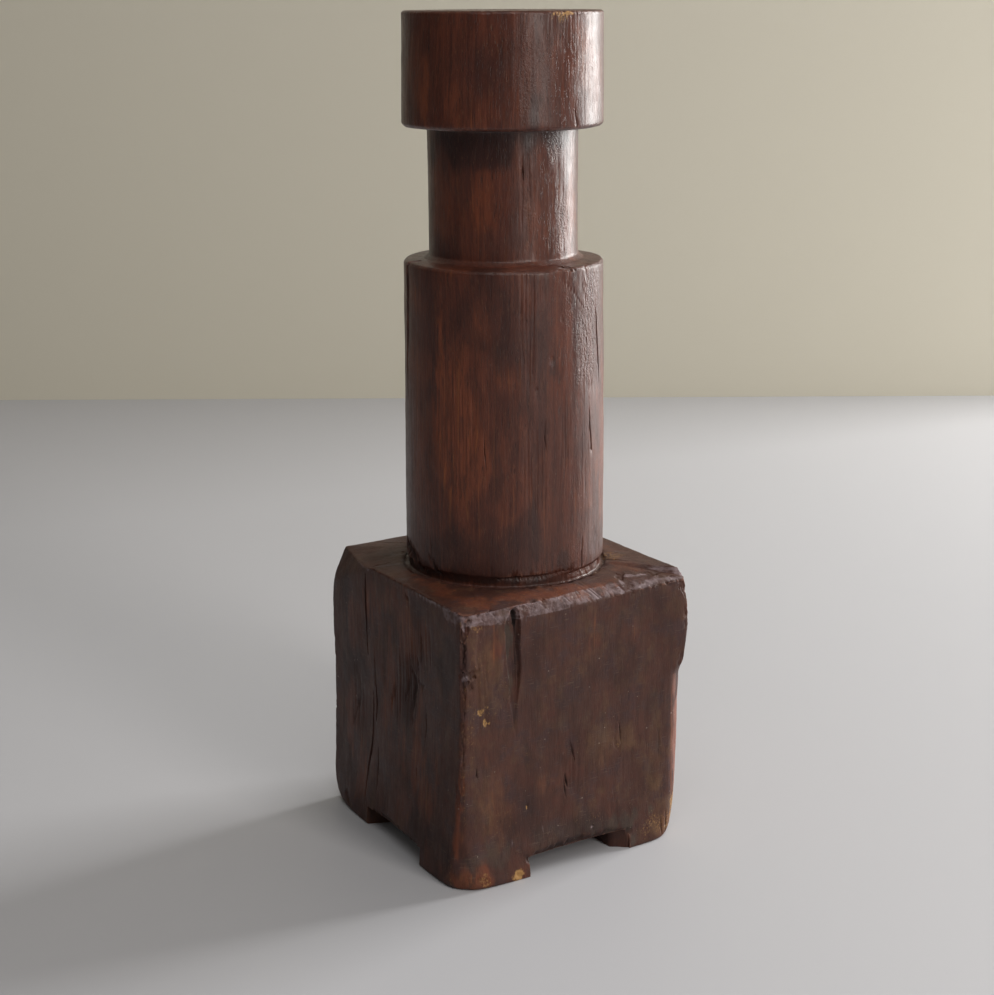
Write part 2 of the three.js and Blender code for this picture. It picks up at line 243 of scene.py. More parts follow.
# Each mark lies on a side: its kind, half width and depth in mm, and points of (across, height, fullness).
# Across is x or y in mm on the block, and an angle in degrees on a drum.
MARKS = [
    # the -Y face: the gouge, a flat recess with a slit along its right side, and the fine cracks below
    ("front", "gouge", 9.5, 8.0, [(-77, 297, .6), (-79.5, 286, 1), (-79, 262, 1), (-77, 243, .95),
                                  (-77, 225, .75), (-78, 205, .5), (-79, 188, .25), (-77, 166, .1)]),
    ("front", "crack", 4.0, 10.0, [(-76.5, 299, .9), (-75.5, 290, 1), (-73.5, 278, .6), (-71.5, 266, .35),
                                  (-71, 255, .2)]),
    ("front", "crack", 1.2, 2.0, [(-73, 258, .6), (-72.5, 240, 1), (-73.5, 222, .6)]),
    ("front", "crack", 0.9, 1.2, [(-78, 250, .4), (-77, 232, 1), (-78, 214, .4)]),
    ("front", "crack", 0.9, 1.2, [(-75.5, 244, .4), (-75, 228, 1), (-76, 212, .3)]),
    ("front", "chip", 2.2, 1.2, [(-84, 207, .6), (-82, 200, 1), (-80, 192, .6)]),
    ("front", "crack", 0.8, 1.0, [(-79, 196, .4), (-78.5, 180, 1), (-79.5, 164, .3)]),
    # chips along the front arris, and the scaled strip beside it
    ("front", "flake", 15, 0.9, [(-108, 286, .9), (-110, 255, 1), (-108, 222, .6)]),
    ("front", "chip", 4.5, 2.6, [(-133, 296, .8), (-138, 288, 1), (-140, 279, .6)]),
    ("front", "chip", 4, 2.2, [(-139, 272, .7), (-140, 262, 1), (-139, 254, .6)]),
    ("front", "chip", 4, 3.2, [(-122, 243, .5), (-128, 240, 1), (-137, 242, .9)]),
    ("front", "chip", 3, 2.4, [(-137, 234, .8), (-134, 229, 1), (-130, 223, .6)]),
    ("front", "chip", 2.5, 1.4, [(-140, 214, .8), (-141, 204, 1), (-140, 196, .5)]),
    ("front", "chip", 2.2, 0.9, [(-142, 176, 1), (-142, 150, .5), (-142, 120, .7), (-143, 90, .3)]),
    ("front", "dent", 4, 1.0, [(-114, 186, 1), (-112, 183, 1)]),
    ("front", "dent", 3, 0.8, [(-121, 198, 1), (-118, 196, .8)]),
    ("front", "dent", 5, 1.0, [(-126, 290, 1), (-112, 290, .8)]),
    ("front", "crack", 1.0, 2.0, [(-125, 137, .4), (-126, 129, 1), (-124, 124, .4)]),
    # short checks lower down
    ("front", "crack", 1.0, 1.8, [(57, 148, .4), (58.5, 138, 1), (59, 128, .7), (60, 120, .2)]),
    ("front", "chip", 3.6, 1.0, [(50, 131, .4), (54, 122, 1), (57, 118, .8)]),
    ("front", "crack", 1.3, 2.6, [(-15, 105, .5), (-13.5, 97, 1), (-12, 90, .4)]),
    ("front", "crack", 1.0, 1.8, [(-17, 100, .3), (-15.5, 88, 1), (-14, 78, .3)]),
    ("front", "crack", 1.0, 2.0, [(-8, 142, .3), (-5, 130, 1), (-2, 119, .5)]),
    ("front", "dent", 2.4, 1.0, [(-63, 81, 1), (-63, 76, .6)]),
    ("front", "dent", 2.2, 0.8, [(19, 38, 1), (20, 36, 1)]),
    ("front", "dent", 4.5, 1.4, [(-78, 6, 1), (-74, 3, .8)]),
    ("front", "dent", 4, 1.3, [(-128, 12, 1), (-118, 9, .8)]),
    ("front", "crack", 1.2, 2.0, [(112, 26, .4), (113, 14, 1), (114, 4, .6)]),
    ("front", "crack", 1.2, 2.0, [(120, 30, .4), (121, 16, 1), (121, 3, .6)]),
    ("front", "crack", 0.7, 0.7, [(110, 140, .3), (111, 115, 1), (110, 92, .3)]),
    # the torn lower edge over the gap between the feet, which also gets painted shade
    ("front", "undercut", 10, 5.0, [(-62, 20, .6), (-40, 21, .9), (0, 22, 1), (40, 21, .9), (66, 20, .6)]),
    # chisel nicks across the bevel, closest together by the front corner
    ("front", "nick", 1.1, 1.2, [(-106, 304, .6), (-99, 296, 1), (-92, 287, .6)]),
    ("front", "nick", 1.0, 1.0, [(-121, 303, .5), (-115, 295, 1), (-110, 290, .5)]),
    ("front", "nick", 1.0, 0.9, [(-74, 306, .6), (-66, 300, 1), (-56, 297, .5)]),
    ("front", "nick", 1.0, 0.9, [(-66, 306, .6), (-58, 301, 1), (-48, 296, .5)]),
    ("front", "nick", 1.0, 0.9, [(-88, 303, .6), (-80, 300, 1), (-70, 302, .5)]),
    ("front", "nick", 1.0, 0.9, [(-50, 306, .6), (-42, 300, 1), (-35, 293, .5)]),
    ("front", "nick", 1.0, 0.9, [(-16, 306, .6), (-10, 301, 1), (-6, 296, .5)]),
    ("front", "nick", 1.1, 1.2, [(18, 308, .8), (24, 303, 1), (31, 295, .7)]),
    ("front", "nick", 1.1, 1.2, [(23, 308, .8), (29, 302, 1), (35, 295, .7)]),
    ("front", "nick", 1.0, 1.0, [(13, 307, .6), (18, 303, 1), (24, 297, .5)]),
    ("top", "chip", 4.5, 1.4, [(70, -121, 1), (77, -113, .9), (82, -109, .4)]),
    ("top", "chip", 5, 1.4, [(102, -119, .7), (112, -123, 1), (122, -120, .7)]),
    ("top", "chip", 4, 1.2, [(128, -116, .7), (137, -121, 1)]),
    # the block's top, by the column's foot
    ("top", "crack", 1.4, 1.6, [(97, -55, .7), (107, -52, 1), (120, -48, .5)]),
    ("top", "crack", 1.4, 1.4, [(92, -68, .7), (101, -76, 1), (108, -82, .4)]),
    ("top", "crack", 1.2, 1.2, [(-140, 60, 1), (-128, 62, .8), (-112, 58, .3)]),
    ("top", "crack", 1.0, 1.0, [(-60, 118, .6), (-74, 130, 1), (-83, 150, .8)]),
    ("top", "crack", 1.2, 1.4, [(84, 92, .6), (104, 112, 1), (128, 130, .9)]),
    # the -X face: two drying cracks end to end, the upper one open, and hollows where soft wood has gone
    ("left", "crack", 1.1, 10.0, [(66, 297, .3), (66.5, 288, .7), (67, 270, 1.1), (66.5, 245, 1),
                                  (65.5, 220, .6), (65, 203, .3)]),
    ("left", "crack", 0.9, 5.0, [(49, 206, .3), (48, 180, .8), (45.5, 158, 1.2), (46, 143, 1),
                                 (48, 130, .3)]),
    ("left", "crack", 0.9, 5.0, [(54, 163, .3), (54.5, 140, .9), (56, 110, 1), (59, 93, 1.1), (66, 72, 1),
                                 (70, 48, .7), (71, 22, .4)]),
    ("left", "hollow", 4, 1.5, [(1, 192, .3), (3, 182, 1), (8, 168, .8), (9, 152, .2)]),
    ("left", "hollow", 4, 1.4, [(-20, 176, .3), (-24, 188, .9), (-30, 204, .8), (-31, 216, .2)]),
    ("left", "hollow", 5, 1.8, [(-37, 214, .4), (-41, 201, 1), (-38, 188, .8), (-34, 168, .5),
                                (-36, 150, .2)]),
    ("left", "hollow", 3, 1.6, [(-47, 206, .6), (-55, 202, 1), (-59, 205, .5)]),
    ("left", "hollow", 3, 1.6, [(-54, 262, .3), (-55, 248, 1), (-53, 232, .6), (-52, 222, .2)]),
    ("left", "hollow", 3, 1.2, [(-44, 238, .3), (-46, 226, 1), (-45, 214, .4)]),
    ("left", "hollow", 4, 1.2, [(86, 168, .4), (87, 150, .9), (92, 134, .8), (100, 118, .5), (106, 104, .2)]),
    ("left", "hollow", 3, 1.4, [(-24, 298, .6), (-29, 294, 1), (-31, 284, .5)]),
    ("left", "crack", 1.1, 1.6, [(42, 104, .3), (42, 80, 1), (45, 50, .3)]),
    ("left", "crack", 0.8, 1.2, [(-30, 232, .3), (-34, 215, 1), (-33, 206, .5)]),
    ("left", "crack", 0.8, 1.2, [(-62, 185, .4), (-66, 160, 1), (-64, 138, .3)]),
    ("left", "dent", 2.2, 0.8, [(-48, 106, 1), (-48, 100, .6)]),
    ("left", "undercut", 8, 3.0, [(-54, 20, .5), (-20, 21, .9), (20, 22, 1), (50, 20, .6)]),
    ("left", "chip", 4, 1.8, [(-137, 240, .8), (-140, 226, 1), (-138, 214, .6)]),
    ("left", "chip", 3, 1.3, [(-134, 118, .6), (-136, 106, 1), (-135, 98, .5)]),
    ("left", "chip", 4, 1.2, [(118, 20, 1), (112, 8, .9)]),
    # the right arris above the split, broken by knocks
    ("front", "chip", 4.5, 1.6, [(139, 292, .8), (145, 283, 1), (146, 276, .5)]),
    ("front", "chip", 4, 1.2, [(144, 262, .6), (146, 252, 1), (145, 244, .5)]),
    ("front", "chip", 4, 2.0, [(142, 214, .5), (141, 206, 1), (138, 200, .6)]),
    # the tall drum: the crack by its left outline, broken wood at its foot, and the scaled patch at its right
    ("tall", "crack", 3.2, 10.0, [(-194.5, 647, 1.2), (-194.5, 610, 1.1), (-195.5, 570, .9),
                                  (-196.5, 540, .6), (-195.5, 498, .1)]),
    ("tall", "hollow", 11, 5.0, [(-203, 330, .9), (-193, 328, 1), (-184, 320, .7), (-178, 314, .4)]),
    ("tall", "hollow", 4.5, 2.5, [(-170, 334, .6), (-167, 322, 1), (-163, 316, .7)]),
    ("tall", "dent", 3.4, 2.4, [(-127, 317, .3), (-118, 318, .9), (-102, 318, 1), (-88, 320, .7),
                                (-80, 320, .3)]),
    ("tall", "dent", 3.4, 2.0, [(-82, 315, .6), (-72, 316, 1), (-60, 315, 1), (-48, 316, .6)]),
    ("tall", "flake", 21, 0.7, [(-62, 342, .8), (-62, 328, 1)]),
    ("tall", "crack", 0.9, 1.4, [(-73, 353, .4), (-73, 335, 1), (-72.5, 312, .8)]),
    ("tall", "nick", 1.2, 0.4, [(-95, 340, .4), (-90, 342, 1), (-84, 346, .8), (-75, 345, .5)]),
    ("tall", "scale", 19, 0.5, [(-66, 634, .9), (-65, 590, 1), (-64, 545, 1), (-64, 524, .95)]),
    ("tall", "scale", 9, 0.4, [(-74, 552, .7), (-72, 535, 1), (-70, 520, .6)]),
    ("tall", "crack", 1.1, 2.4, [(-58.5, 600, .3), (-57, 585, .8), (-55.5, 560, 1.1), (-54, 535, .8),
                                 (-53, 512, .2)]),
    ("tall", "crack", 1.1, 2.4, [(-66, 492, .3), (-65.5, 475, .8), (-64.5, 458, 1), (-64, 449, 1),
                                 (-68, 452, .4)]),
    ("tall", "nick", 1.5, 0.5, [(-95, 642, .4), (-88, 631, .8), (-80, 618, 1), (-72, 600, .8),
                                (-69, 588, .3)]),
    ("tall", "dent", 4, 1.1, [(-95, 552, 1), (-94, 548, .8)]),
    ("tall", "dent", 2.2, 1.2, [(-88.5, 593, 1), (-88, 590, .6)]),
    ("tall", "dent", 2.6, 0.9, [(-104.5, 522, 1), (-104, 519, .6)]),
    ("tall", "chip", 3, 1.6, [(-85, 644, .6), (-82, 643, 1), (-79, 642, .4)]),
    ("tall", "crack", 0.65, 1.2, [(-133.5, 474, .3), (-133.5, 455, 1), (-132.5, 436, .4)]),
    ("tall", "crack", 0.6, 1.0, [(-99, 487, .5), (-99.5, 470, 1), (-98, 452, .3)]),
    ("tall", "crack", 0.6, 0.9, [(-146, 425, .3), (-146, 410, 1), (-145, 398, .3)]),
    ("tall", "crack", 0.6, 0.9, [(-169.5, 356, .3), (-169, 344, 1), (-168.5, 334, .5)]),
    # and on its far side
    ("tall", "crack", 1.6, 5.0, [(62, 646, 1), (61, 600, 1), (63, 552, .8), (62, 500, .2)]),
    ("tall", "crack", 1.4, 3.5, [(118, 312, .9), (117, 360, 1), (119, 410, .6), (118, 450, .1)]),
    ("tall", "crack", 1.0, 1.6, [(8, 470, .3), (9, 430, 1), (8, 385, .4)]),
    ("tall", "chip", 4, 1.6, [(96, 644, .6), (101, 643, 1), (105, 642, .5)]),
    # the neck and the cap
    ("neck", "crack", 0.8, 1.6, [(-108.5, 747, .4), (-108, 740, 1), (-108, 733, .4)]),
    ("neck", "scale", 9, 0.3, [(-86, 774, .8), (-80, 760, 1), (-77, 748, .6)]),
    ("neck", "scale", 8, 0.3, [(-70, 712, .7), (-71, 690, 1), (-71, 662, .8)]),
    ("neck", "crack", 1.1, 2.2, [(150, 780, .8), (149, 730, 1), (151, 690, .3)]),
    ("neck", "crack", 1.2, 2.6, [(40, 655, .9), (41, 700, 1), (40, 745, .3)]),
    ("cap", "crack", 0.9, 1.4, [(-80, 806, .3), (-79, 797, 1), (-78, 786, .9)]),
    ("cap", "nick", 0.8, 0.6, [(-105, 883, .5), (-101, 883, 1), (-96, 882.5, .5)]),
    ("cap", "dent", 1.8, 0.8, [(-163, 804, 1), (-163, 802, 1)]),
    ("cap", "chip", 4, 1.0, [(-96, 897, .6), (-87, 898, 1), (-78, 897, .6)]),
    ("cap", "crack", 1.3, 3.0, [(24, 899, 1), (25, 870, .9), (24, 838, .3)]),
    ("cap", "crack", 1.1, 2.2, [(133, 785, .9), (132, 812, 1), (133, 840, .3)]),
    ("disc", "crack", 1.2, 1.6, [(3, -4, .6), (30, 8, 1), (66, 24, 1), (99, 40, .8)]),
    ("disc", "crack", 1.0, 1.2, [(-4, 3, .5), (-26, 30, 1), (-52, 63, .4)]),
    ("disc", "crack", 0.9, 1.0, [(0, -8, .4), (-12, -38, 1), (-22, -70, .3)]),
]
DRUMS = {"tall": (COLUMN_R, 312, 646), "neck": (NECK_R, 646, 783), "cap": (CAP_R, 783.5, 899.8)}
SIDES = {"front": (0, (0, -1)), "left": (1, (-1, 0)), "right": (1, (1, 0)), "behind": (0, (0, 1))}


def lay(side, points, normals, middle):
    """Across, up and how squarely each point lies on that side, in mm."""
    x, y, z = points[..., 0], points[..., 1], points[..., 2]
    if side in SIDES:
        axis, (nx, ny) = SIDES[side]
        square = ease(normals[..., 0] * nx + normals[..., 1] * ny, 0.15, 0.5) * (z < 309.5)
        return points[..., axis], z, square * (np.hypot(x, y) > COLUMN_R + 4)
    if side == "top":
        square = ease(normals[..., 2], 0.3, 0.6) * (z > 285) * (z < 313)
        return x, y, square * (np.hypot(x, y) > COLUMN_R - 1)
    if side == "disc":
        return x, y, 1.0 * (z > TOTAL_H - 0.5)
    radius, bottom, top = DRUMS[side]
    angle = np.degrees(np.arctan2(y, x))
    around = radius * np.radians(turn(angle, middle)) + radius * np.radians(middle)
    return around, z, 1.0 * (z > bottom) * (z < top) * (np.hypot(x, y) > radius - 16)


def mark_at(mark, points, normals):
    """How far into a mark each point lies, 0 at its edge and 1 on its line, its fullness there, and the
    place across it from -1 at its left edge to 1 at its right."""
    side, kind, half_width, _, path = mark
    path = np.array(path, float)
    middle = path[:, 0].mean()
    across, up, square = lay(side, points, normals, middle)
    if side in DRUMS:
        path[:, 0] = DRUMS[side][0] * np.radians(path[:, 0])
    reach = half_width * 1.4 * path[:, 2].max() + 2
    inside, fullness, aside = np.zeros((3,) + across.shape)
    close = (square > 0) & (across > path[:, 0].min() - reach) & (across < path[:, 0].max() + reach)
    close &= (up > path[:, 1].min() - reach) & (up < path[:, 1].max() + reach)
    if not close.any():
        return inside, fullness, aside
    a, u, spot = across[close], up[close], points[close]
    ragged = {"crack": 0.35, "gouge": 0.2, "nick": 0.15, "dent": 0.5, "undercut": 0.5}.get(kind, 0.9)
    size = max(half_width * 0.45, 1.2)
    a = a + ragged * half_width * 0.5 * drift(spot / (size, size, size * 2.2), 3)
    u = u + ragged * half_width * 0.5 * drift(spot / (size, size, size * 2.2), 4)
    best, full, beside = np.zeros((3,) + a.shape)
    for (a0, u0, f0), (a1, u1, f1) in zip(path[:-1], path[1:]):
        length2 = (a1 - a0) ** 2 + (u1 - u0) ** 2
        t = np.clip(((a - a0) * (a1 - a0) + (u - u0) * (u1 - u0)) / length2, 0, 1)
        wide = f0 + (f1 - f0) * t
        half = half_width * np.maximum(wide, 0.05)
        off = np.hypot(a - a0 - t * (a1 - a0), u - u0 - t * (u1 - u0)) / half
        nearer = 1 - off > best
        best, full = np.where(nearer, 1 - off, best), np.where(nearer, wide, full)
        beside = np.where(nearer, (a - a0 - t * (a1 - a0)) / half, beside)
    inside[close], fullness[close], aside[close] = best * square[close], full, beside
    return inside, fullness, aside


def sunk_by(kind, inside, aside, points):
    """The section of each kind of mark, from 0 at its edge to 1 at its deepest."""
    section = np.zeros(inside.shape)
    touched = inside > 0
    t, at, across = inside[touched], points[touched], aside[touched]
    if kind == "crack":
        t = t ** 0.7
    elif kind in ("dent", "undercut"):
        t = ease(t, 0, 0.8)
    elif kind == "hollow":
        t = ease(t, 0, 0.9) * (0.7 + 0.5 * drift(at / (1.8, 1.8, 16), 9))
    elif kind == "gouge":
        t = ease(t, 0, 0.25) * (0.45 + 0.25 * ease(across, 0.3, 0.55))
    elif kind == "flake":
        t = ease(t, 0, 0.3) * (0.75 + 0.35 * drift(at / (5, 5, 14), 5))
    elif kind == "scale":
        t = ease(t, 0, 0.4) * (0.6 + 0.6 * drift(at / (2.4, 2.4, 3.6), 6) + 0.5 * drift(at / 1.3, 7))
    elif kind == "chip":
        t = ease(t, 0, 0.18) * (0.75 + 0.5 * drift(at / 2.6, 8))
    section[touched] = t
    return section


# Short cuts by a narrow chisel, side by side along the bevel.
chisel = np.random.default_rng(4)
for _ in range(40):
    left, height = chisel.uniform(-130, 62), chisel.uniform(295, 306)
    run, drop = chisel.uniform(2, 5), chisel.uniform(4, 9)
    path = [(left, height, .5), (left + run / 2, height - drop / 2, 1), (left + run, height - drop, .5)]
    MARKS.append(("front", "nick", 0.6, chisel.uniform(0.25, 0.6), path))

# Each kind of mark gets painted shade in its depths: cracks darkest, then hollows and the undercut.
PAINTED_SHADE = {"crack": 1.0, "hollow": 0.6, "undercut": 0.5, "gouge": 0.12, "nick": 0.0, "dent": 0.2,
             "chip": 0.15, "flake": 0.05, "scale": 0.0}
normals = outward(skin)
sinking, crevice_shade, nick_glints = np.zeros((3,) + skin.shape[:2])
for mark in MARKS:
    inside, fullness, aside = mark_at(mark, skin, normals)
    section = sunk_by(mark[1], inside, aside, skin)
    sinking = np.maximum(sinking, mark[3] * np.minimum(fullness, 1.2) * section)
    mark_shade = PAINTED_SHADE[mark[1]] * np.minimum(0.15 + mark[3] / 3.5, 1) * np.minimum(fullness * 1.4, 1)
    crevice_shade = np.maximum(crevice_shade, mark_shade * ease(section, 0.1, 0.7))
    if mark[1] == "nick":
        nick_glints = np.maximum(nick_glints, ease(inside, 0, 0.5))

# Hewing has left the block's faces and top uneven, the bevel crumbles towards the right corner, and every
# edge has been nibbled by knocks. The groove round the column's foot was cut in short strokes, and its left
# part is painted dark as shade.
x, y, z = skin[..., 0], skin[..., 1], skin[..., 2]
BEVEL_FOOT = [(-140, 293), (-126, 291.5), (-91, 288), (-62, 290), (-23, 290), (7, 293), (69, 296), (133, 298)]
on_block = ease(z, 2, 14) * (z < 312) * ease(np.hypot(x, y), COLUMN_R + 2, COLUMN_R + 12)
on_bevel = on_block * ease(z - along(BEVEL_FOOT, x), -1.5, 1) * (1 - ease(normals[..., 2], 0.86, 0.97))
on_bevel *= ease(-y, 95, 108)
crumbling = on_bevel * (0.25 + 0.75 * ease(x, 50, 100))
sinking += 0.35 * on_block * drift(skin / (34, 34, 60), 11) + 0.22 * on_block * drift(skin / (9, 9, 18), 12)
sinking += crumbling * (0.8 * drift(skin / 5, 13) + 0.6 * drift(skin / 2.4, 14))
at_groove = bump(np.hypot(x, y) - COLUMN_R - 3, 5) * bump(z - BLOCK_CROWN_Z, 5)
sinking += at_groove * (0.8 + 1.2 * drift(skin / (9, 9, 5), 15) + 0.6 * drift(skin / 3, 16))
# The groove's left part, away from the light, gets painted shade.
groove_shade = ease(-x - 0.3 * y, -20, 70) * ease(drift(skin / (14, 14, 6), 24) + 0.3, -0.4, 0.5)
groove_shade = groove_shade * bump(np.hypot(x, y) - COLUMN_R, 4) * bump(z - BLOCK_CROWN_Z - 3, 6)
crevice_shade = np.maximum(crevice_shade, 0.75 * groove_shade)
around = (np.roll(normals, 5, axis=1) * np.roll(normals, -5, axis=1)).sum(-1)
upward = np.ones_like(around)
upward[3:-3] = (normals[6:] * normals[:-6]).sum(-1)
edge = ease(1 - np.minimum(around, upward), 0.12, 0.6) * ease(z, 1, 5)
bites = ease(drift(skin / (5, 5, 8), 17) + 0.6 * drift(skin / (2.2, 2.2, 3), 18), 0.05, 0.8)
sinking += edge * bites * (0.4 + 1.5 * on_block)
ripple = bump(x + 98, 14) * bump(z - 212, 22) * (normals[..., 1] < -0.8)
sinking += 0.35 * ripple * drift(skin / (30, 30, 2.6), 19)

# Where the softer early wood has worn away most between the hard grain lines.
RIDGED = [  # side, middle across and up, half widths
    ("tall", -107, 590, 10, 75), ("tall", -105, 430, 12, 70), ("tall", -88, 470, 7, 50),
    ("tall", -150, 480, 16, 90), ("neck", -105, 715, 8, 60), ("cap", -90, 880, 14, 25),
    ("front", -118, 220, 10, 50), ("front", -8, 108, 14, 34), ("left", -30, 190, 40, 70),
    ("left", -62, 250, 24, 40), ("front", -80, 250, 14, 60), ("left", 90, 140, 24, 60),
]


def spot(side, across, height, wide, high, points, normals, ragged=0.35):
    """1 in the middle of a soft-edged ragged patch on a side, falling to 0 at its edge."""
    a, u, square = lay(side, points, normals, across)
    if side in DRUMS:
        arc = DRUMS[side][0] * np.radians(1)
        across, wide = across * arc, wide * arc
    off = np.hypot((a - across) / wide, (u - height) / high)
    close = (off < 1.05 + ragged) & (square > 0)
    size = max(min(wide, high) * 0.5, 1.5)
    off[close] += ragged * drift(points[close] / (size, size, size * 2), 31)
    return (1 - ease(off, 0.45, 1.05)) * square * close


ridged = np.full(skin.shape[:2], 0.2)
for side, across, height, wide, high in RIDGED:
    ridged = np.maximum(ridged, spot(side, across, height, wide, high, skin, normals))
ridged *= ease(z, 0.5, 6) * (1 - ease(z, TOTAL_H - 2.5, TOTAL_H - 0.5))
ridged *= 1 - 0.8 * ease(normals[..., 2], 0.4, 0.8)
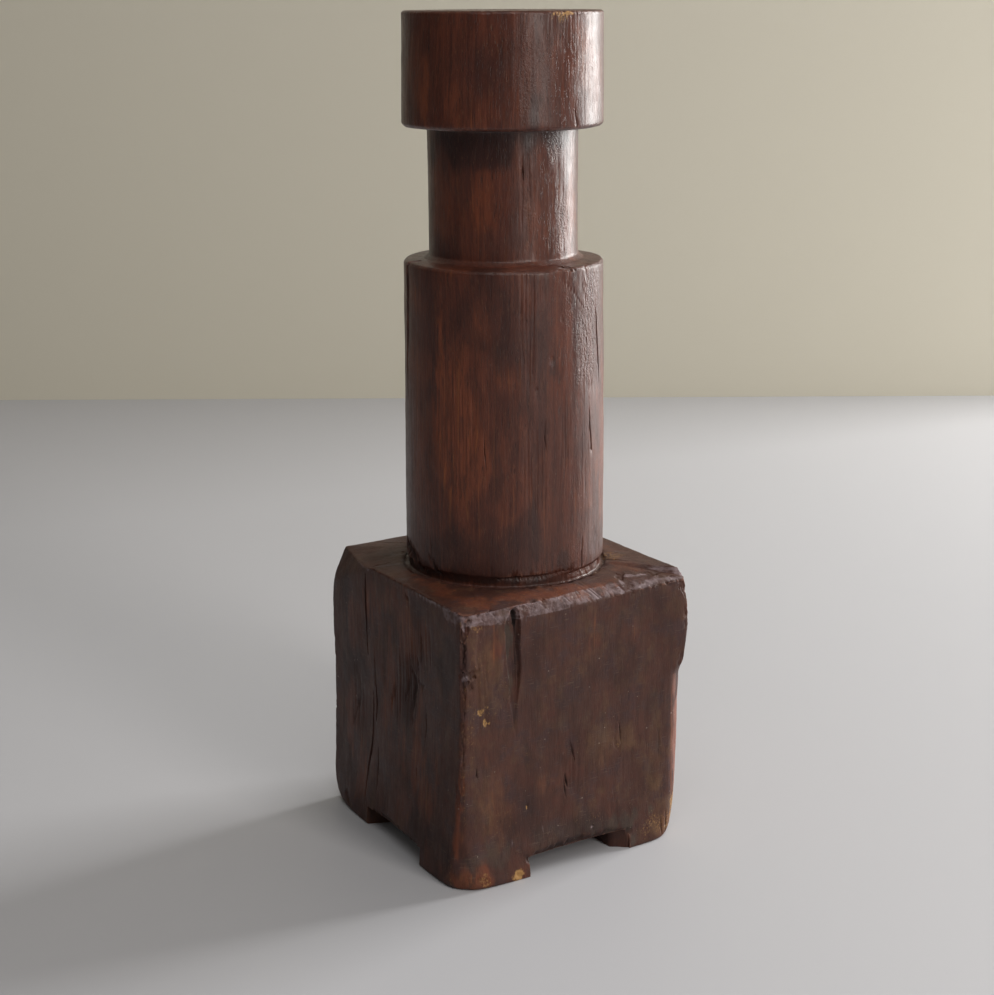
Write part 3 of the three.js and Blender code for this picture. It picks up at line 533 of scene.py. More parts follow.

# What has happened to the old finish, patch by patch: it's worn thin to orange or tan, or through to bare or
# torn wood, has scaled off, bloomed pale, or gone grimy or dark; some pale patches are painted sheen and some
# dark ones painted shade. Each patch has a side, its middle across and up, its half widths and its strength.
SPOTS = {
    "warm": [
        ("tall", -143, 470, 26, 120, .55), ("tall", -161, 545, 3.5, 70, .8), ("tall", -120, 420, 16, 90, .3),
        ("tall", -44, 470, 15, 120, .65), ("tall", -100, 400, 10, 80, .3), ("tall", -68, 420, 16, 60, .35),
        ("tall", -180, 480, 18, 150, .5), ("neck", -176, 705, 20, 50, .55), ("cap", -180, 845, 16, 55, .45),
        ("cap", -171, 822, 5, 42, .9), ("cap", -150, 812, 9, 28, .4), ("cap", -75, 860, 14, 34, .5),
        ("cap", -60, 830, 18, 60, .4), ("neck", -140, 700, 20, 60, .45), ("neck", -100, 700, 8, 50, .35),
        ("neck", -60, 700, 14, 60, .55), ("tall", -130, 660, 60, 20, .4), ("cap", -130, 800, 20, 20, .3),
        ("front", 122, 16, 16, 24, .5), ("front", -120, 12, 22, 16, .9), ("front", -78, 8, 14, 10, .5),
        ("front", 25, 249, 10, 22, .4), ("front", 131, 110, 4, 90, .8), ("front", -37, 97, 20, 16, .4),
        ("front", -105, 90, 25, 70, .3), ("front", 85, 255, 30, 20, .35), ("front", -100, 262, 9, 26, .5),
        ("left", -130, 14, 20, 18, .9), ("left", -136, 80, 8, 55, .8), ("left", 61, 262, 4, 34, .9),
        ("left", 72, 262, 4, 30, .6), ("left", -74, 61, 4, 8, .7), ("left", -60, 255, 16, 30, .4),
        ("left", 20, 280, 40, 22, .5), ("left", 10, 215, 14, 40, .5), ("left", -50, 160, 7, 50, .5),
        ("left", -15, 120, 12, 50, .45), ("left", -90, 120, 10, 60, .4), ("left", 45, 255, 14, 36, .5),
        ("left", -20, 250, 26, 50, .5), ("left", -45, 120, 12, 50, .7), ("left", -62, 90, 9, 50, .6),
        ("left", 20, 160, 16, 60, .45), ("left", -20, 55, 26, 30, .45), ("left", -75, 60, 12, 40, .6),
        ("left", 95, 230, 30, 50, .7), ("left", 110, 120, 18, 60, .6), ("left", 85, 60, 18, 50, .5),
        ("top", -60, -118, 50, 14, .8), ("top", -118, -60, 14, 60, .6), ("top", 0, -128, 70, 12, .8),
        ("top", 118, 0, 16, 60, .5), ("top", 95, -95, 30, 20, .5), ("top", -110, -110, 26, 26, .7),
    ],
    "tan": [
        ("front", -131, 190, 13, 105, .45), ("front", -108, 240, 22, 50, .5),
        ("front", -40, 100, 30, 24, .45), ("front", 40, 130, 50, 34, .6),
        ("front", 0, 60, 60, 20, .45), ("front", 110, 100, 20, 60, .5),
        ("front", -105, 90, 25, 60, .5), ("front", -20, 215, 30, 40, .3), ("front", 60, 265, 50, 18, .3),
        ("front", 20, 250, 30, 30, .3), ("front", 115, 22, 24, 24, .6), ("front", -40, 30, 24, 18, .4),
    ],
    "grimy": [
        ("front", -83, 268, 7, 34, 1.1), ("front", -82, 226, 5, 22, .6), ("front", 50, 34, 70, 14, .8),
        ("front", -110, 34, 34, 18, .6), ("front", -20, 40, 50, 26, .5), ("front", 100, 160, 24, 30, .4),
        ("front", 10, 180, 40, 40, .35), ("front", 72, 12, 8, 14, .8), ("left", 128, 150, 8, 90, .4),
    ],
    "bare": [
        ("front", -113, 184, 7, 7, .62), ("front", -120.5, 197, 5.5, 5, .58), ("front", -114, 201, 5, 4, .5),
        ("front", -130, 163, 2.5, 8, .45), ("front", -123, 128, 2.2, 5, .4), ("front", -55, 155, 2, 3.5, .5),
        ("front", -44, 192, 2.2, 2.6, .55), ("front", -46, 203, 2, 3, .5), ("front", -64, 79, 1.2, 4, .8),
        ("front", 20, 72, 2, 2.2, .6), ("front", -79, 6, 10, 8, .8), ("front", -121, 10, 14, 10, .48),
        ("front", 55, 121, 4.5, 5, .45), ("front", 117, 18, 9, 14, .4), ("front", 136, 12, 6, 12, .45),
        ("cap", -86, 897.5, 8, 3, .8), ("cap", -150, 899, 16, 1.4, .4), ("front", -138, 226, 3, 8, .4),
        ("left", -128, 8, 8, 8, .4), ("front", -141, 120, 2, 90, .35), ("front", -125, 290, 12, 7, .45),
        ("front", -131, 280, 6, 9, .45), ("left", -135, 295, 5, 6, .4), ("front", 20, 42, 66, 20, .28),
        ("front", 100, 60, 32, 46, .26), ("front", -100, 60, 34, 60, .26), ("front", -20, 130, 60, 40, .2),
        ("front", -95, 215, 20, 40, .26), ("front", 105, 20, 30, 18, .4), ("left", -40, 60, 50, 50, .2),
        ("front", -112, 250, 20, 50, .3), ("front", 134, 30, 10, 30, .6), ("front", 5, 20, 60, 14, .3),
        ("front", -133, 190, 9, 90, .3), ("front", 126, 10, 12, 8, .5), ("cap", -90, 894, 7, 6, .5),
        ("left", -120, 20, 20, 24, .3), ("top", 104, -58, 20, 22, .45), ("cap", -140, 830, 40, 40, .16),
    ],
    "torn": [("front", 140, 95, 9, 96, .8), ("front", 134, 176, 6, 16, .7), ("left", 64, 262, 2, 26, .6)],
    "scaly": [
        ("tall", -64, 580, 17, 74, 1), ("tall", -74, 535, 8, 24, .8), ("tall", -85, 600, 7, 40, .4),
        ("neck", -82, 762, 12, 20, 1), ("neck", -72, 690, 10, 40, .9), ("cap", -97, 850, 6, 36, .5),
        ("cap", -108, 838, 8, 48, .5), ("neck", -104, 705, 6, 50, .35), ("tall", -96, 590, 8, 60, .3),
        ("tall", -84, 330, 30, 22, .4), ("top", 108, -112, 34, 16, .8),
    ],
    # pale wax bloom and specks, and painted sheen along the bevels
    "bloom_and_sheen": [
        ("front", -136, 237, 3, 4, .5), ("front", 4.5, 209, 1.5, 1.5, 1), ("front", -17.5, 126, 1.6, 1.8, 1),
        ("front", 19, 37, 2, 2.4, 1), ("front", 47, 67, 1.5, 1.5, .8), ("front", -84, 44, 1.5, 2, .8),
        ("front", -45, 50, 1.5, 1.8, .7), ("tall", -84, 475, 1.0, 1.6, 1), ("top", 61, -139, 3, 8, 1),
        ("top", 68, -126, 3, 8, .9), ("top", 104, -55, 12, 2, .6), ("left", -139, 237, 3, 4, .5),
        ("top", 130, -116, 9, 4, .5), ("top", 96, -121, 12, 4, .8), ("top", 84, -118, 8, 4, .9),
        ("tall", -96, 549, 3.5, 9, .3), ("tall", -62, 335, 7, 18, .35), ("left", -60, 205, 1.6, 2.4, .7),
        ("left", 55, 212, 2, 5, .6), ("left", -139, 292, 4, 5, .7), ("left", -52, 92, 1.2, 20, .5),
        ("left", -60, 304, 70, 2.5, .7), ("left", 60, 304, 60, 2.5, .4),
    ],
    # dark stains, and painted shade under the cap, at the column's foot and along the block's lower edge
    "stain_and_shade": [
        ("tall", -130, 600, 26, 60, .7), ("tall", -140, 340, 50, 34, .6), ("tall", -92, 538, 5, 14, .7),
        ("tall", -172, 470, 8, 160, .25), ("tall", -85, 330, 9, 16, .8), ("cap", -172, 870, 12, 25, .3),
        ("cap", -128, 850, 14, 50, .6), ("neck", -150, 769, 52, 27, 1.2), ("tall", -105, 560, 8, 80, .3),
        ("neck", -90, 776, 40, 14, .8), ("tall", -150, 316, 44, 10, .9), ("cap", -105, 800, 5, 26, .6),
        ("front", -50, 190, 30, 80, .4), ("front", -60, 60, 30, 40, .5), ("front", 20, 40, 50, 22, .6),
        ("front", -139, 255, 7, 30, .8), ("left", 100, 200, 40, 110, .5), ("left", -25, 190, 26, 46, .6),
        ("front", 100, 270, 40, 30, .4), ("left", 125, 60, 30, 60, .4), ("left", -110, 250, 26, 60, .7),
        ("left", -80, 40, 60, 34, .6), ("front", 60, 215, 40, 30, .4), ("front", -20, 24, 60, 10, .8),
        ("tall", -128, 430, 4, 70, .5), ("tall", -112, 360, 14, 34, .6), ("left", -35, 195, 12, 40, .8),
    ],
}


def paint(mesh, name, values):
    """Keeps a value for each point of the skin with the mesh, and 0 in the middle of the sole and the top."""
    values = np.append(np.asarray(values, np.float32), [0, 0])
    mesh.attributes.new(name, "FLOAT", "POINT").data.foreach_set("value", values)


finish = {name: np.zeros(skin.shape[:2]) for name in SPOTS}
for name, spots in SPOTS.items():
    for side, across, height, wide, high, amount in spots:
        patch = amount * spot(side, across, height, wide, high, skin, normals, 0.6)
        finish[name] = np.maximum(finish[name], patch)
# Painted sheen along the block's bevel, streaked along it, and painted glints in its chisel nicks.
scraped = drift(skin / (9, 9, 1.3), 41)
bevel_bloom_and_sheen = on_bevel * (0.65 + 0.3 * scraped) * (0.75 + 0.4 * drift(skin / 7, 42))
finish["bloom_and_sheen"] = np.maximum(np.maximum(finish["bloom_and_sheen"], 0.95 * bevel_bloom_and_sheen), 0.5 * nick_glints * on_bevel)
finish["crevice_shade"] = crevice_shade
finish["ridged"] = ridged
finish["column"] = ease(z, 300, 312) * (1 - ease(np.hypot(x, y), COLUMN_R, COLUMN_R + 4))
finish["handled"] = ease(z, 640, 655)
finish["free"] = ease(z, 0.5, 8) * (1 - ease(z, TOTAL_H - 6, TOTAL_H - 1))

skin = skin - normals * sinking[..., None]
skin[..., 2] = np.clip(skin[..., 2], 0, TOTAL_H)


def mesh_of(name, surface):
    """Closes a stack of rings into one skin, with a point in the middle of its sole and of its top."""
    count, around = surface.shape[:2]
    points = np.concatenate([surface.reshape(-1, 3), [[0, 0, 0], [0, 0, TOTAL_H]]]) + AXIS_AT
    ring, step = np.meshgrid(np.arange(count - 1), np.arange(around), indexing="ij")
    onward = (step + 1) % around
    quads = np.stack([ring * around + step, ring * around + onward,
                      (ring + 1) * around + onward, (ring + 1) * around + step], -1).reshape(-1, 4)
    one = np.arange(around)
    last = (count - 1) * around
    fans = np.concatenate([
        np.stack([np.full(around, count * around), (one + 1) % around, one], -1),
        np.stack([np.full(around, count * around + 1), last + one, last + (one + 1) % around], -1)])
    mesh = bpy.data.meshes.new(name)
    mesh.vertices.add(len(points))
    mesh.vertices.foreach_set("co", (points * MM).ravel())
    mesh.loops.add(quads.size + fans.size)
    mesh.loops.foreach_set("vertex_index", np.concatenate([quads.ravel(), fans.ravel()]))
    mesh.polygons.add(len(quads) + len(fans))
    starts = np.concatenate([np.arange(len(quads)) * 4, quads.size + np.arange(len(fans)) * 3])
    mesh.polygons.foreach_set("loop_start", starts)
    mesh.update(calc_edges=True)
    thing = bpy.data.objects.new(name, mesh)
    bpy.context.scene.collection.objects.link(thing)
    return thing


trunk = mesh_of("carved_trunk", skin)
for name, values in finish.items():
    paint(trunk.data, name, values)

# The feet: the underside was cut away in the plan of a cross, a thumb's width high, so that only the corners
# touch the floor. The cut's sides were hewn by eye.
GAP_PLAN = [(-65, -190), (68, -190), (68, -147), (51, -134), (53, -60), (190, -64), (190, 66), (60, 62),
            (62, 190), (-64, 190), (-70, 46), (-123, 55), (-190, 82), (-190, -64), (-60, -60)]
FOOT_H = 22.0


def gap_cutter():
    corners = np.array(GAP_PLAN, float)
    outline = []
    for (x0, y0), (x1, y1) in zip(corners, np.roll(corners, -1, axis=0)):
        pieces = max(1, int(np.hypot(x1 - x0, y1 - y0) / 5))
        outline += [(x0 + (x1 - x0) * t, y0 + (y1 - y0) * t, 0) for t in np.arange(pieces) / pieces]
    outline = np.array(outline)
    outline[:, 0] += 0.8 * drift(outline / 9, 21)
    outline[:, 1] += 0.8 * drift(outline / 9, 22)
    n = len(outline)
    points = np.concatenate([outline + (0, 0, -20), outline + (0, 0, FOOT_H)]) + AXIS_AT
    points[n:, 2] += 0.7 * drift(outline / 12, 23)
    faces = [(i, (i + 1) % n, n + (i + 1) % n, n + i) for i in range(n)]
    faces += [tuple(reversed(range(n))), tuple(range(n, 2 * n))]
    mesh = bpy.data.meshes.new("gap_cutter")
    mesh.from_pydata([tuple(p) for p in points * MM], [], faces)
    # The underside and the feet's inner sides, which this cut leaves, get painted shade.
    gap_shade = mesh.attributes.new("crevice_shade", "FLOAT", "POINT")
    gap_shade.data.foreach_set("value", np.full(2 * n, 0.55, np.float32))
    thing = bpy.data.objects.new("gap_cutter", mesh)
    bpy.context.scene.collection.objects.link(thing)
    return thing


cutter = gap_cutter()


def hexed(code):
    """An sRGB hex colour as linear red, green, blue and 1."""
    values = [int(code[i:i + 2], 16) / 255 for i in (1, 3, 5)]
    return [v / 12.92 if v <= 0.04045 else ((v + 0.055) / 1.055) ** 2.4 for v in values] + [1.0]


def add(tree, kind, settings=None, **links):
    """Adds a node, sets its properties, and feeds its inputs with a value or another node's output."""
    node = tree.nodes.new(kind)
    for name, value in (settings or {}).items():
        setattr(node, name, value)
    for name, value in links.items():
        key = int(name[1:]) if name[0] == "_" and name[1:].isdigit() else name.replace("_", " ")
        socket = node.inputs[key]
        if isinstance(value, bpy.types.NodeSocket):
            tree.links.new(value, socket)
        else:
            socket.default_value = value
    return node


# The wood is an old dense hardwood, stained and waxed many times. The eye gets a deep red brown with upright
# streaks, under a dark film that has worn thin in patches. It's satin on the column, which many hands have
# polished, and dull on the block.
def size_mm(*sizes):
    """The Mapping scale that makes one cell of a pattern this many millimetres along X, Y and Z."""
    return [1000 / size for size in sizes]


waxed_wood = bpy.data.materials.new("old_waxed_hardwood")
waxed_wood.use_nodes = True
wood = waxed_wood.node_tree
wood.nodes.clear()
place = add(wood, "ShaderNodeTexCoord").outputs["Object"]

# The grain wanders a few millimetres to the side on its way up.
path = add(wood, "ShaderNodeMapping", Vector=place, Scale=size_mm(70, 70, 260)).outputs[0]
wander = add(wood, "ShaderNodeTexNoise", Vector=path, Scale=1, Detail=2).outputs["Color"]
wander = add(wood, "ShaderNodeVectorMath", dict(operation="SUBTRACT"), _0=wander,
             _1=(0.5, 0.5, 0.5)).outputs[0]
wander = add(wood, "ShaderNodeVectorMath", dict(operation="MULTIPLY"), _0=wander,
             _1=(30 * MM, 30 * MM, 0)).outputs[0]
grain = add(wood, "ShaderNodeVectorMath", dict(operation="ADD"), _0=place, _1=wander).outputs[0]

# Each pattern: where it lies, the size of its cells in mm, its detail and its roughness. The fibres are drawn
# 1.5 mm apart, because finer ones don't show.
PATTERNS = {
    "fibres": (grain, (1.5, 1.5, 50), 3, 0.6), "lines": (grain, (3.0, 3.0, 230), 2, 0.5),
    "streaks": (grain, (11, 11, 240), 4, 0.65), "pores": (grain, (0.9, 0.9, 13), 1, 0.5),
    "film": (grain, (34, 34, 70), 6, 0.65), "mottle": (place, (6, 6, 9), 5, 0.7),
    "crumbs": (place, (2.2, 2.2, 2.8), 3, 0.65), "smears": (grain, (7, 7, 34), 5, 0.7),
    "blotches": (place, (30, 30, 30), 7, 0.7), "scuffs": (grain, (1.3, 1.3, 8), 2, 0.6),
    "scratches": (place, (16, 16, 1.1), 2, 0.6), "clouds": (place, (22, 22, 28), 6, 0.65),
}
seen = {}
for name, (lies, cell, detail, rough) in PATTERNS.items():
    laid = add(wood, "ShaderNodeMapping", Vector=lies, Location=(3, 1, 2), Scale=size_mm(*cell)).outputs[0]
    noise = add(wood, "ShaderNodeTexNoise", Vector=laid, Scale=1, Detail=detail, Roughness=rough)
    seen[name] = noise.outputs["Fac"]

# Growth rings are bands round a pith a little off the axis, and specks are grains of pale dust. A ring wave
# repeats every twentieth of 2 pi at scale 1.
RING_WIDTH = 5.5 * MM
from_pith = add(wood, "ShaderNodeMapping", Vector=grain, Location=(14 * MM, -10 * MM, 0),
                Scale=(1, 1, 0.02)).outputs[0]
banded = dict(wave_type="RINGS", rings_direction="Z", wave_profile="SAW")
seen["rings"] = add(wood, "ShaderNodeTexWave", banded, Vector=from_pith, Scale=2 * np.pi / (20 * RING_WIDTH),
                    Distortion=1.2, Detail=3, Detail_Scale=2, Detail_Roughness=0.6).outputs["Fac"]
strewn = add(wood, "ShaderNodeMapping", Vector=place, Scale=size_mm(11, 11, 11)).outputs[0]
strewn = add(wood, "ShaderNodeTexVoronoi", Vector=strewn, Scale=1)
big = add(wood, "ShaderNodeSeparateColor", Color=strewn.outputs["Color"]).outputs[0]
big = add(wood, "ShaderNodeMapRange", Value=big, From_Min=0, From_Max=1, To_Min=0.02, To_Max=0.1).outputs[0]
seen["specks"] = add(wood, "ShaderNodeMath", dict(operation="LESS_THAN"), _0=strewn.outputs["Distance"],
                     _1=big).outputs[0]

# The states painted on the skin.
for name in (*SPOTS, "crevice_shade", "column", "handled", "worn"):
    seen[name] = add(wood, "ShaderNodeAttribute", dict(attribute_name=name)).outputs["Fac"]
seen["block"] = add(wood, "ShaderNodeMath", dict(operation="SUBTRACT"), _0=1.0, _1=seen["column"]).outputs[0]
seen["all"] = 1.0

# The colour is built up as the finish was, in layers: a colour, then what its amount is the product of. Each
# of those is a weighted sum of patterns and states, and where two numbers follow it, it rises from 0 to 1
# between them.
LAYERS = [
    # the wood's own figure under the stain
    ("#613324", ({"streaks": 1}, .3, .72)),
    ("#7a452e", ({"fibres": 1}, .45, .75), {"all": .25}),
    ("#2e1711", ({"lines": 1}, .44, .3), {"all": .3}),
    ("#331812", ({"rings": 1}, .55, 1.0), {"all": .16}),
    # the block, which nobody has polished: a dull brown in tan, violet and red patches
    ("#4b2e25", {"block": .8}),
    ("#604630", ({"clouds": 1}, .5, .68), {"block": .4}),
    ("#413033", ({"blotches": 1}, .48, .62), {"block": .55}),
    ("#592c21", ({"blotches": 1}, .46, .32), {"block": .45}),
    ("#664a3b", ({"mottle": 1, "crumbs": .5}, .82, 1.08), {"block": .4}),
    ("#2f1f1b", ({"mottle": 1, "crumbs": .5}, .7, .48), {"block": .4}),
    ("#75573a", ({"tan": 1, "clouds": .8, "mottle": .3}, .75, 1.6), {"all": .6}),
    ("#4b423a", ({"grimy": 1, "mottle": .5, "clouds": .4}, .6, 1.4), {"all": .75}),
    # where handling has thinned the stain
    ("#8a482a", ({"warm": .9, "smears": .5, "film": .5}, .55, 1.5), {"all": .75, "block": -.3}),
    ("#9a5c30", ({"lines": 1}, .58, .72), {"warm": .5, "column": .1}),
    # old wax and soot, and painted shade under the cap, at the column's foot and over the gap
    ("#2b1816", ({"film": 1, "stain_and_shade": .35, "warm": -.08, "smears": .4}, .52, 1.0), {"all": .45, "stain_and_shade": .35}),
    ("#21130f", ({"smears": 1}, .54, .36), {"all": .3}),
    ("#1c100e", ({"pores": 1}, .6, .72), {"all": .2, "column": .3}),
    # wear: rubbed edges, the split, scraped and scaled places with painted sheen, bare wood, scuffs,
    # scratches and dust
    ("#7d5343", ({"worn": 1, "mottle": .7}, .6, 1.3), {"all": .45}),
    ("#a06a5a", ({"torn": 1, "fibres": .6}, .6, 1.3), {"all": .7}),
    ("#8c7b7e", ({"bloom_and_sheen": 1, "mottle": 1}, .65, 1.35), {"all": .8}),
    ("#b98f58", ({"bare": 1, "crumbs": 1}, .85, 1.3), {"all": .8}),
    ("#94704f", ({"scuffs": 1}, .6, .72), {"block": .06, "column": .12}),
    ("#8c7460", ({"scratches": 1}, .6, .7), ({"blotches": 1}, .45, .6), {"block": .22}),
    ("#a8978a", {"specks": 1}, ({"blotches": 1}, .45, .6), {"block": .45, "column": .05}),
    # painted shade in cracks, hollows and dents, in the groove's left part, and under the block
    ("#100a09", {"crevice_shade": .85}),
]
colour = hexed("#49251c")
for code, *factors in LAYERS:
    amount = 1.0
    for factor in factors:
        weights, *band = factor if isinstance(factor, tuple) else (factor,)
        total = 0.0
        for name, by in weights.items():
            total = add(wood, "ShaderNodeMath", dict(operation="MULTIPLY_ADD"), _0=seen[name], _1=by,
                        _2=total).outputs[0]
        if band:
            total = add(wood, "ShaderNodeMapRange", dict(interpolation_type="SMOOTHSTEP"), Value=total,
                        From_Min=band[0], From_Max=band[1]).outputs[0]
        amount = add(wood, "ShaderNodeMath", dict(operation="MULTIPLY"), _0=amount, _1=total).outputs[0]
    colour = add(wood, "ShaderNodeMix", dict(data_type="RGBA"), _0=amount, _6=colour,
                 _7=hexed(code)).outputs[2]

# The wax shines where hands have been, less on the block, and hardly at all in cracks and on bare wood.
ROUGHNESS = {"film": .34, "block": .14, "handled": -.03, "crevice_shade": .3, "bloom_and_sheen": .1, "bare": .2, "mottle": .26}
roughness = 0.1
for name, by in ROUGHNESS.items():
    roughness = add(wood, "ShaderNodeMath", dict(operation="MULTIPLY_ADD"), _0=seen[name], _1=by,
                    _2=roughness).outputs[0]
shine = add(wood, "ShaderNodeMath", dict(operation="MULTIPLY_ADD"), _0=seen["column"], _1=0.12,
            _2=0.38).outputs[0]
polish = add(wood, "ShaderNodeMath", dict(operation="MULTIPLY"), _0=seen["column"], _1=0.1).outputs[0]

# Relief too fine for the mesh: fibres standing a tenth of a millimetre proud, open pores, and handling dents.
seen["open_pores"] = add(wood, "ShaderNodeMapRange", dict(interpolation_type="SMOOTHSTEP"),
                         Value=seen["pores"], From_Min=0.6, From_Max=0.72).outputs[0]
scales = add(wood, "ShaderNodeMapRange", dict(interpolation_type="SMOOTHSTEP"), Value=seen["crumbs"],
             From_Min=0.35, From_Max=0.6).outputs[0]
seen["scales"] = add(wood, "ShaderNodeMath", dict(operation="MULTIPLY"), _0=scales,
                     _1=seen["scaly"]).outputs[0]
RELIEF = {"fibres": .45, "open_pores": -.4, "mottle": .8, "crumbs": .14, "streaks": .3, "smears": .4,
          "scales": .9}
relief = 0.0
for name, by in RELIEF.items():
    relief = add(wood, "ShaderNodeMath", dict(operation="MULTIPLY_ADD"), _0=seen[name], _1=by,
                 _2=relief).outputs[0]
relief = add(wood, "ShaderNodeBump", Height=relief, Strength=0.55, Distance=0.6 * MM).outputs[0]
wax = add(wood, "ShaderNodeBsdfPrincipled", Base_Color=colour, Roughness=roughness, Normal=relief, IOR=1.42,
          Specular_IOR_Level=shine, Coat_Weight=polish, Coat_Roughness=0.22, Coat_IOR=1.45).outputs[0]
add(wood, "ShaderNodeOutputMaterial", Surface=wax)

# Weathering goes over the whole skin as one rule: grain lines that stand proud where the skin is painted
# "ridged", on a slow undulation left by the drawknife.
weathering = bpy.data.node_groups.new("weathered_grain", "GeometryNodeTree")
weathering.interface.new_socket("Geometry", in_out="OUTPUT", socket_type="NodeSocketGeometry")
weathering.interface.new_socket("Geometry", in_out="INPUT", socket_type="NodeSocketGeometry")
INPUTS = {"Grain Height": 0.9 * MM, "Grain Width": 2.6 * MM, "Grain Length": 90 * MM,
          "Wave Height": 0.7 * MM, "Wave Size": 42 * MM, "Seed": 7.0}
for name in INPUTS:
    weathering.interface.new_socket(name, in_out="INPUT", socket_type="NodeSocketFloat")
weathering.interface.new_socket("Wood", in_out="INPUT", socket_type="NodeSocketMaterial")
given = add(weathering, "NodeGroupInput").outputs
at = add(weathering, "GeometryNodeInputPosition").outputs[0]
cell = add(weathering, "ShaderNodeCombineXYZ", X=given["Grain Width"], Y=given["Grain Width"],
           Z=given["Grain Length"]).outputs[0]
lines = add(weathering, "ShaderNodeVectorMath", dict(operation="DIVIDE"), _0=at, _1=cell).outputs[0]
lines = add(weathering, "ShaderNodeTexNoise", dict(noise_dimensions="4D"), Vector=lines, W=given["Seed"],
            Scale=1, Detail=1).outputs["Fac"]
lines = add(weathering, "ShaderNodeMapRange", Value=lines, From_Min=0.3, From_Max=0.7, To_Min=-1,
            To_Max=0).outputs[0]
where = add(weathering, "GeometryNodeInputNamedAttribute", dict(data_type="FLOAT"),
            Name="ridged").outputs["Attribute"]
lines = add(weathering, "ShaderNodeMath", dict(operation="MULTIPLY"), _0=lines, _1=where).outputs[0]
lines = add(weathering, "ShaderNodeMath", dict(operation="MULTIPLY"), _0=lines,
            _1=given["Grain Height"]).outputs[0]
waves = add(weathering, "ShaderNodeVectorMath", dict(operation="SCALE"), _0=at,
            Scale=add(weathering, "ShaderNodeMath", dict(operation="DIVIDE"), _0=1.0,
                      _1=given["Wave Size"]).outputs[0]).outputs[0]
waves = add(weathering, "ShaderNodeTexNoise", dict(noise_dimensions="4D"), Vector=waves, W=given["Seed"],
            Scale=1, Detail=2).outputs["Fac"]
waves = add(weathering, "ShaderNodeMapRange", Value=waves, From_Min=0.3, From_Max=0.7, To_Min=-1,
            To_Max=0).outputs[0]
waves = add(weathering, "ShaderNodeMath", dict(operation="MULTIPLY"), _0=waves,
            _1=given["Wave Height"]).outputs[0]
free = add(weathering, "GeometryNodeInputNamedAttribute", dict(data_type="FLOAT"),
           Name="free").outputs["Attribute"]
waves = add(weathering, "ShaderNodeMath", dict(operation="MULTIPLY_ADD"), _0=waves, _1=free,
            _2=lines).outputs[0]
out = add(weathering, "ShaderNodeVectorMath", dict(operation="SCALE"),
          _0=add(weathering, "GeometryNodeInputNormal").outputs[0], Scale=waves).outputs[0]
moved = add(weathering, "GeometryNodeSetPosition", Geometry=given["Geometry"], Offset=out).outputs[0]
moved = add(weathering, "GeometryNodeRealizeInstances", Geometry=moved).outputs[0]
moved = add(weathering, "GeometryNodeSetMaterial", Geometry=moved, Material=given["Wood"]).outputs[0]
add(weathering, "NodeGroupOutput", Geometry=moved)

weathered = trunk.modifiers.new("weathered_grain", "NODES")
weathered.node_group = weathering
sockets = {item.name: item.identifier for item in weathering.interface.items_tree if item.in_out == "INPUT"}
for name, value in INPUTS.items():
    weathered[sockets[name]] = value
weathered[sockets["Wood"]] = waxed_wood

# The fine skin is thinned where it is flat, and then the gap between the feet is cut out of it.
FACES_KEPT = 186000
thinned = trunk.modifiers.new("thinned", "DECIMATE")
thinned.ratio = FACES_KEPT / (2 * AROUND * len(skin))
thinned.use_collapse_triangulate = True
gap = trunk.modifiers.new("gap", "BOOLEAN")
gap.object = cutter
gap.solver = "MANIFOLD"
bpy.context.view_layer.update()
carved = bpy.data.meshes.new_from_object(trunk.evaluated_get(bpy.context.evaluated_depsgraph_get()))
trunk.modifiers.clear()
plinth = bpy.data.objects.new("carved_wood", carved)
bpy.context.scene.collection.objects.link(plinth)
for done in (trunk, cutter):
    bpy.data.objects.remove(done)

points = np.zeros(len(carved.vertices) * 3)
carved.vertices.foreach_get("co", points)
points = points.reshape(-1, 3)
low, high = np.array(cad_box)
carved.vertices.foreach_set("co", np.clip(points, low, high).ravel())
carved.shade_smooth()
carved.set_sharp_from_angle(angle=np.radians(55))
carved.update()


def rounding(mesh, passes):
    """How proud each vertex stands of its neighbours, per mm: above 0 on edges, below 0 in hollows."""
    at = np.zeros(len(mesh.vertices) * 3)
    facing = np.zeros(len(mesh.vertices) * 3)
    mesh.vertices.foreach_get("co", at)
    mesh.vertices.foreach_get("normal", facing)
    at, facing = at.reshape(-1, 3) / MM, facing.reshape(-1, 3)
    edges = np.zeros(len(mesh.edges) * 2, np.int32)
    mesh.edges.foreach_get("vertices", edges)
    a, b = edges.reshape(-1, 2).T
    across = at[a] - at[b]
    length = np.maximum((across ** 2).sum(1), 0.05)
    links = np.bincount(a, minlength=len(at)) + np.bincount(b, minlength=len(at))
    bend = np.bincount(a, (across * facing[a]).sum(1) / length, len(at))
    bend -= np.bincount(b, (across * facing[b]).sum(1) / length, len(at))
    bend /= np.maximum(links, 1)
    for _ in range(passes):
        around = np.bincount(a, bend[b], len(at)) + np.bincount(b, bend[a], len(at))
        bend = 0.4 * bend + 0.6 * around / np.maximum(links, 1)
    return bend


proud = rounding(carved, 3)
carved.attributes.new("worn", "FLOAT", "POINT").data.foreach_set(
    "value", ease(proud, 0.02, 0.12).astype(np.float32))
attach(plinth, "root")
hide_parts("carved_plinth")

# The room: a plain pale floor of smoothed cement, and a plain plastered wall behind it. The other sides are
# open.
WALL_BEHIND = 2.34
view_out = Vector((np.sin(AZIMUTH), np.cos(AZIMUTH), 0))


def plain(name, colour, roughness, corners):
    mesh = bpy.data.meshes.new(name)
    mesh.from_pydata([tuple(c) for c in corners], [], [(0, 1, 2, 3)])
    thing = bpy.data.objects.new(name, mesh)
    bpy.context.scene.collection.objects.link(thing)
    surface = bpy.data.materials.new(name)
    surface.use_nodes = True
    shader = surface.node_tree.nodes["Principled BSDF"]
    shader.inputs["Base Color"].default_value = hexed(colour)
    shader.inputs["Roughness"].default_value = roughness
    mesh.materials.append(surface)


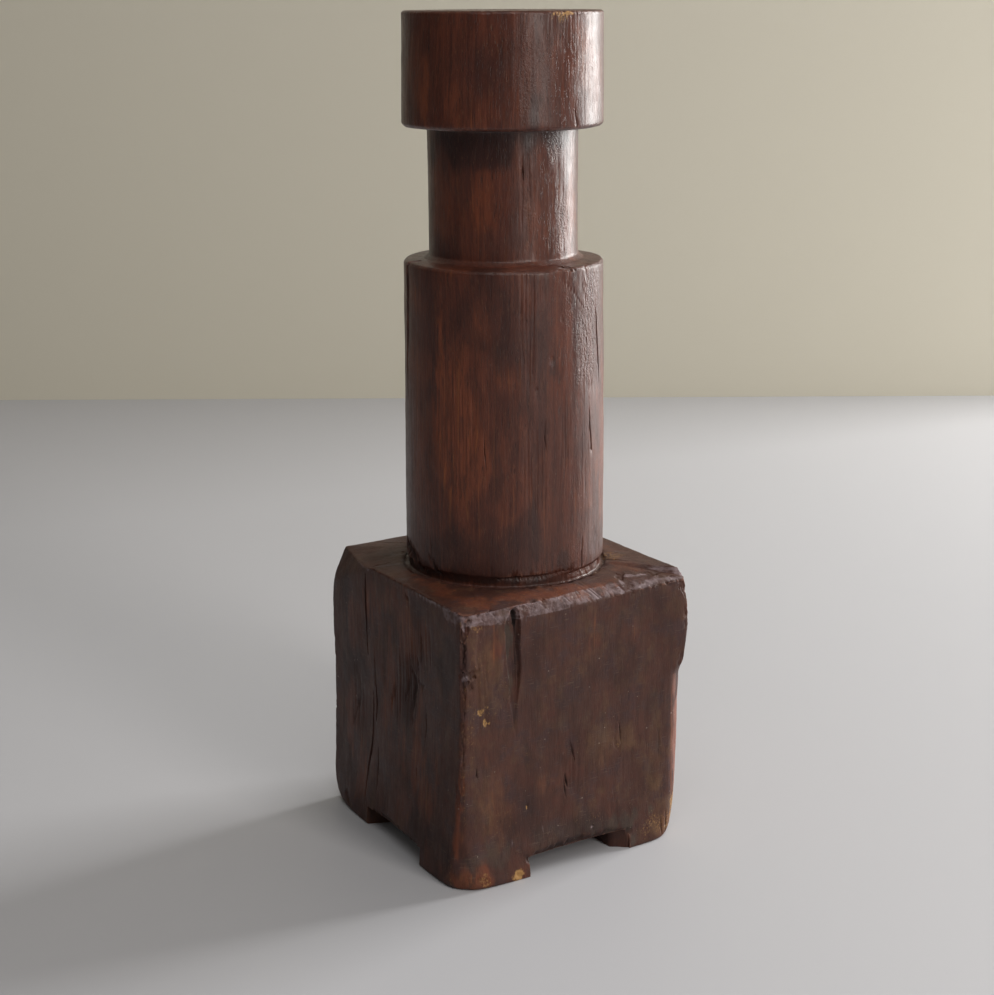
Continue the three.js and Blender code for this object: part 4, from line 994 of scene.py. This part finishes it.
FLOOR_CORNERS = ((-3, -6), (-3, 6), (1, 6), (1, -6))
WALL_ENDS = (-3.0, 1.75)
WALL_HIGH = Vector((0, 0, 4))
wall_foot = [view_out * WALL_BEHIND + level_right * side for side in WALL_ENDS]
plain("pale_floor", "#c2c2c6", 0.55,
      [view_out * WALL_BEHIND * near + level_right * side for near, side in FLOOR_CORNERS])
plain("plain_wall", "#ddd7c6", 0.85,
      [wall_foot[0], wall_foot[1], wall_foot[1] + WALL_HIGH, wall_foot[0] + WALL_HIGH])

# The light: a tall bright window far to the right, a narrower one to the right front, a soft light from
# above, and the room itself, darker on its left.
def window(name, azimuth, away, middle_height, wide, high, watts, tint, aim_height):
    lamp = bpy.data.lights.new(name, "AREA")
    lamp.shape = "RECTANGLE"
    lamp.size, lamp.size_y, lamp.energy = wide, high, watts
    lamp.color = hexed(tint)[:3]
    thing = bpy.data.objects.new(name, lamp)
    bpy.context.scene.collection.objects.link(thing)
    thing.location = (away * np.cos(np.radians(azimuth)), away * np.sin(np.radians(azimuth)), middle_height)
    thing.rotation_mode = "QUATERNION"
    thing.rotation_quaternion = (thing.location - Vector((0, 0, aim_height))).to_track_quat("Z", "Y")
    thing.visible_camera = False


window("window_right", -1, 4.2, 1.75, 1.8, 3.2, 290, "#fffefb", 1.75)
window("window_front", -82, 3.4, 1.75, 0.9, 2.4, 57, "#fffaf4", 1.2)
window("light_above", -112, 1.5, 2.7, 1.8, 1.8, 17, "#fffefc", 0.4)
world = bpy.data.worlds.new("room")
world.use_nodes = True
room = world.node_tree
room_light = room.nodes["Background"]
looking = add(room, "ShaderNodeTexCoord").outputs["Generated"]
looking = add(room, "ShaderNodeSeparateXYZ", Vector=looking).outputs
rightward = add(room, "ShaderNodeMapRange", Value=looking["X"], From_Min=-0.8, From_Max=0.8, To_Min=0.1,
                To_Max=0.26).outputs[0]
upward = add(room, "ShaderNodeMapRange", Value=looking["Z"], From_Min=0, From_Max=0.5, To_Min=0.55,
             To_Max=1.25).outputs[0]
strength = add(room, "ShaderNodeMath", dict(operation="MULTIPLY"), _0=rightward, _1=upward).outputs[0]
room.links.new(strength, room_light.inputs["Strength"])
room_light.inputs["Color"].default_value = hexed("#eeebe6")
bpy.context.scene.world = world
bpy.context.scene.view_settings.view_transform = "Standard"
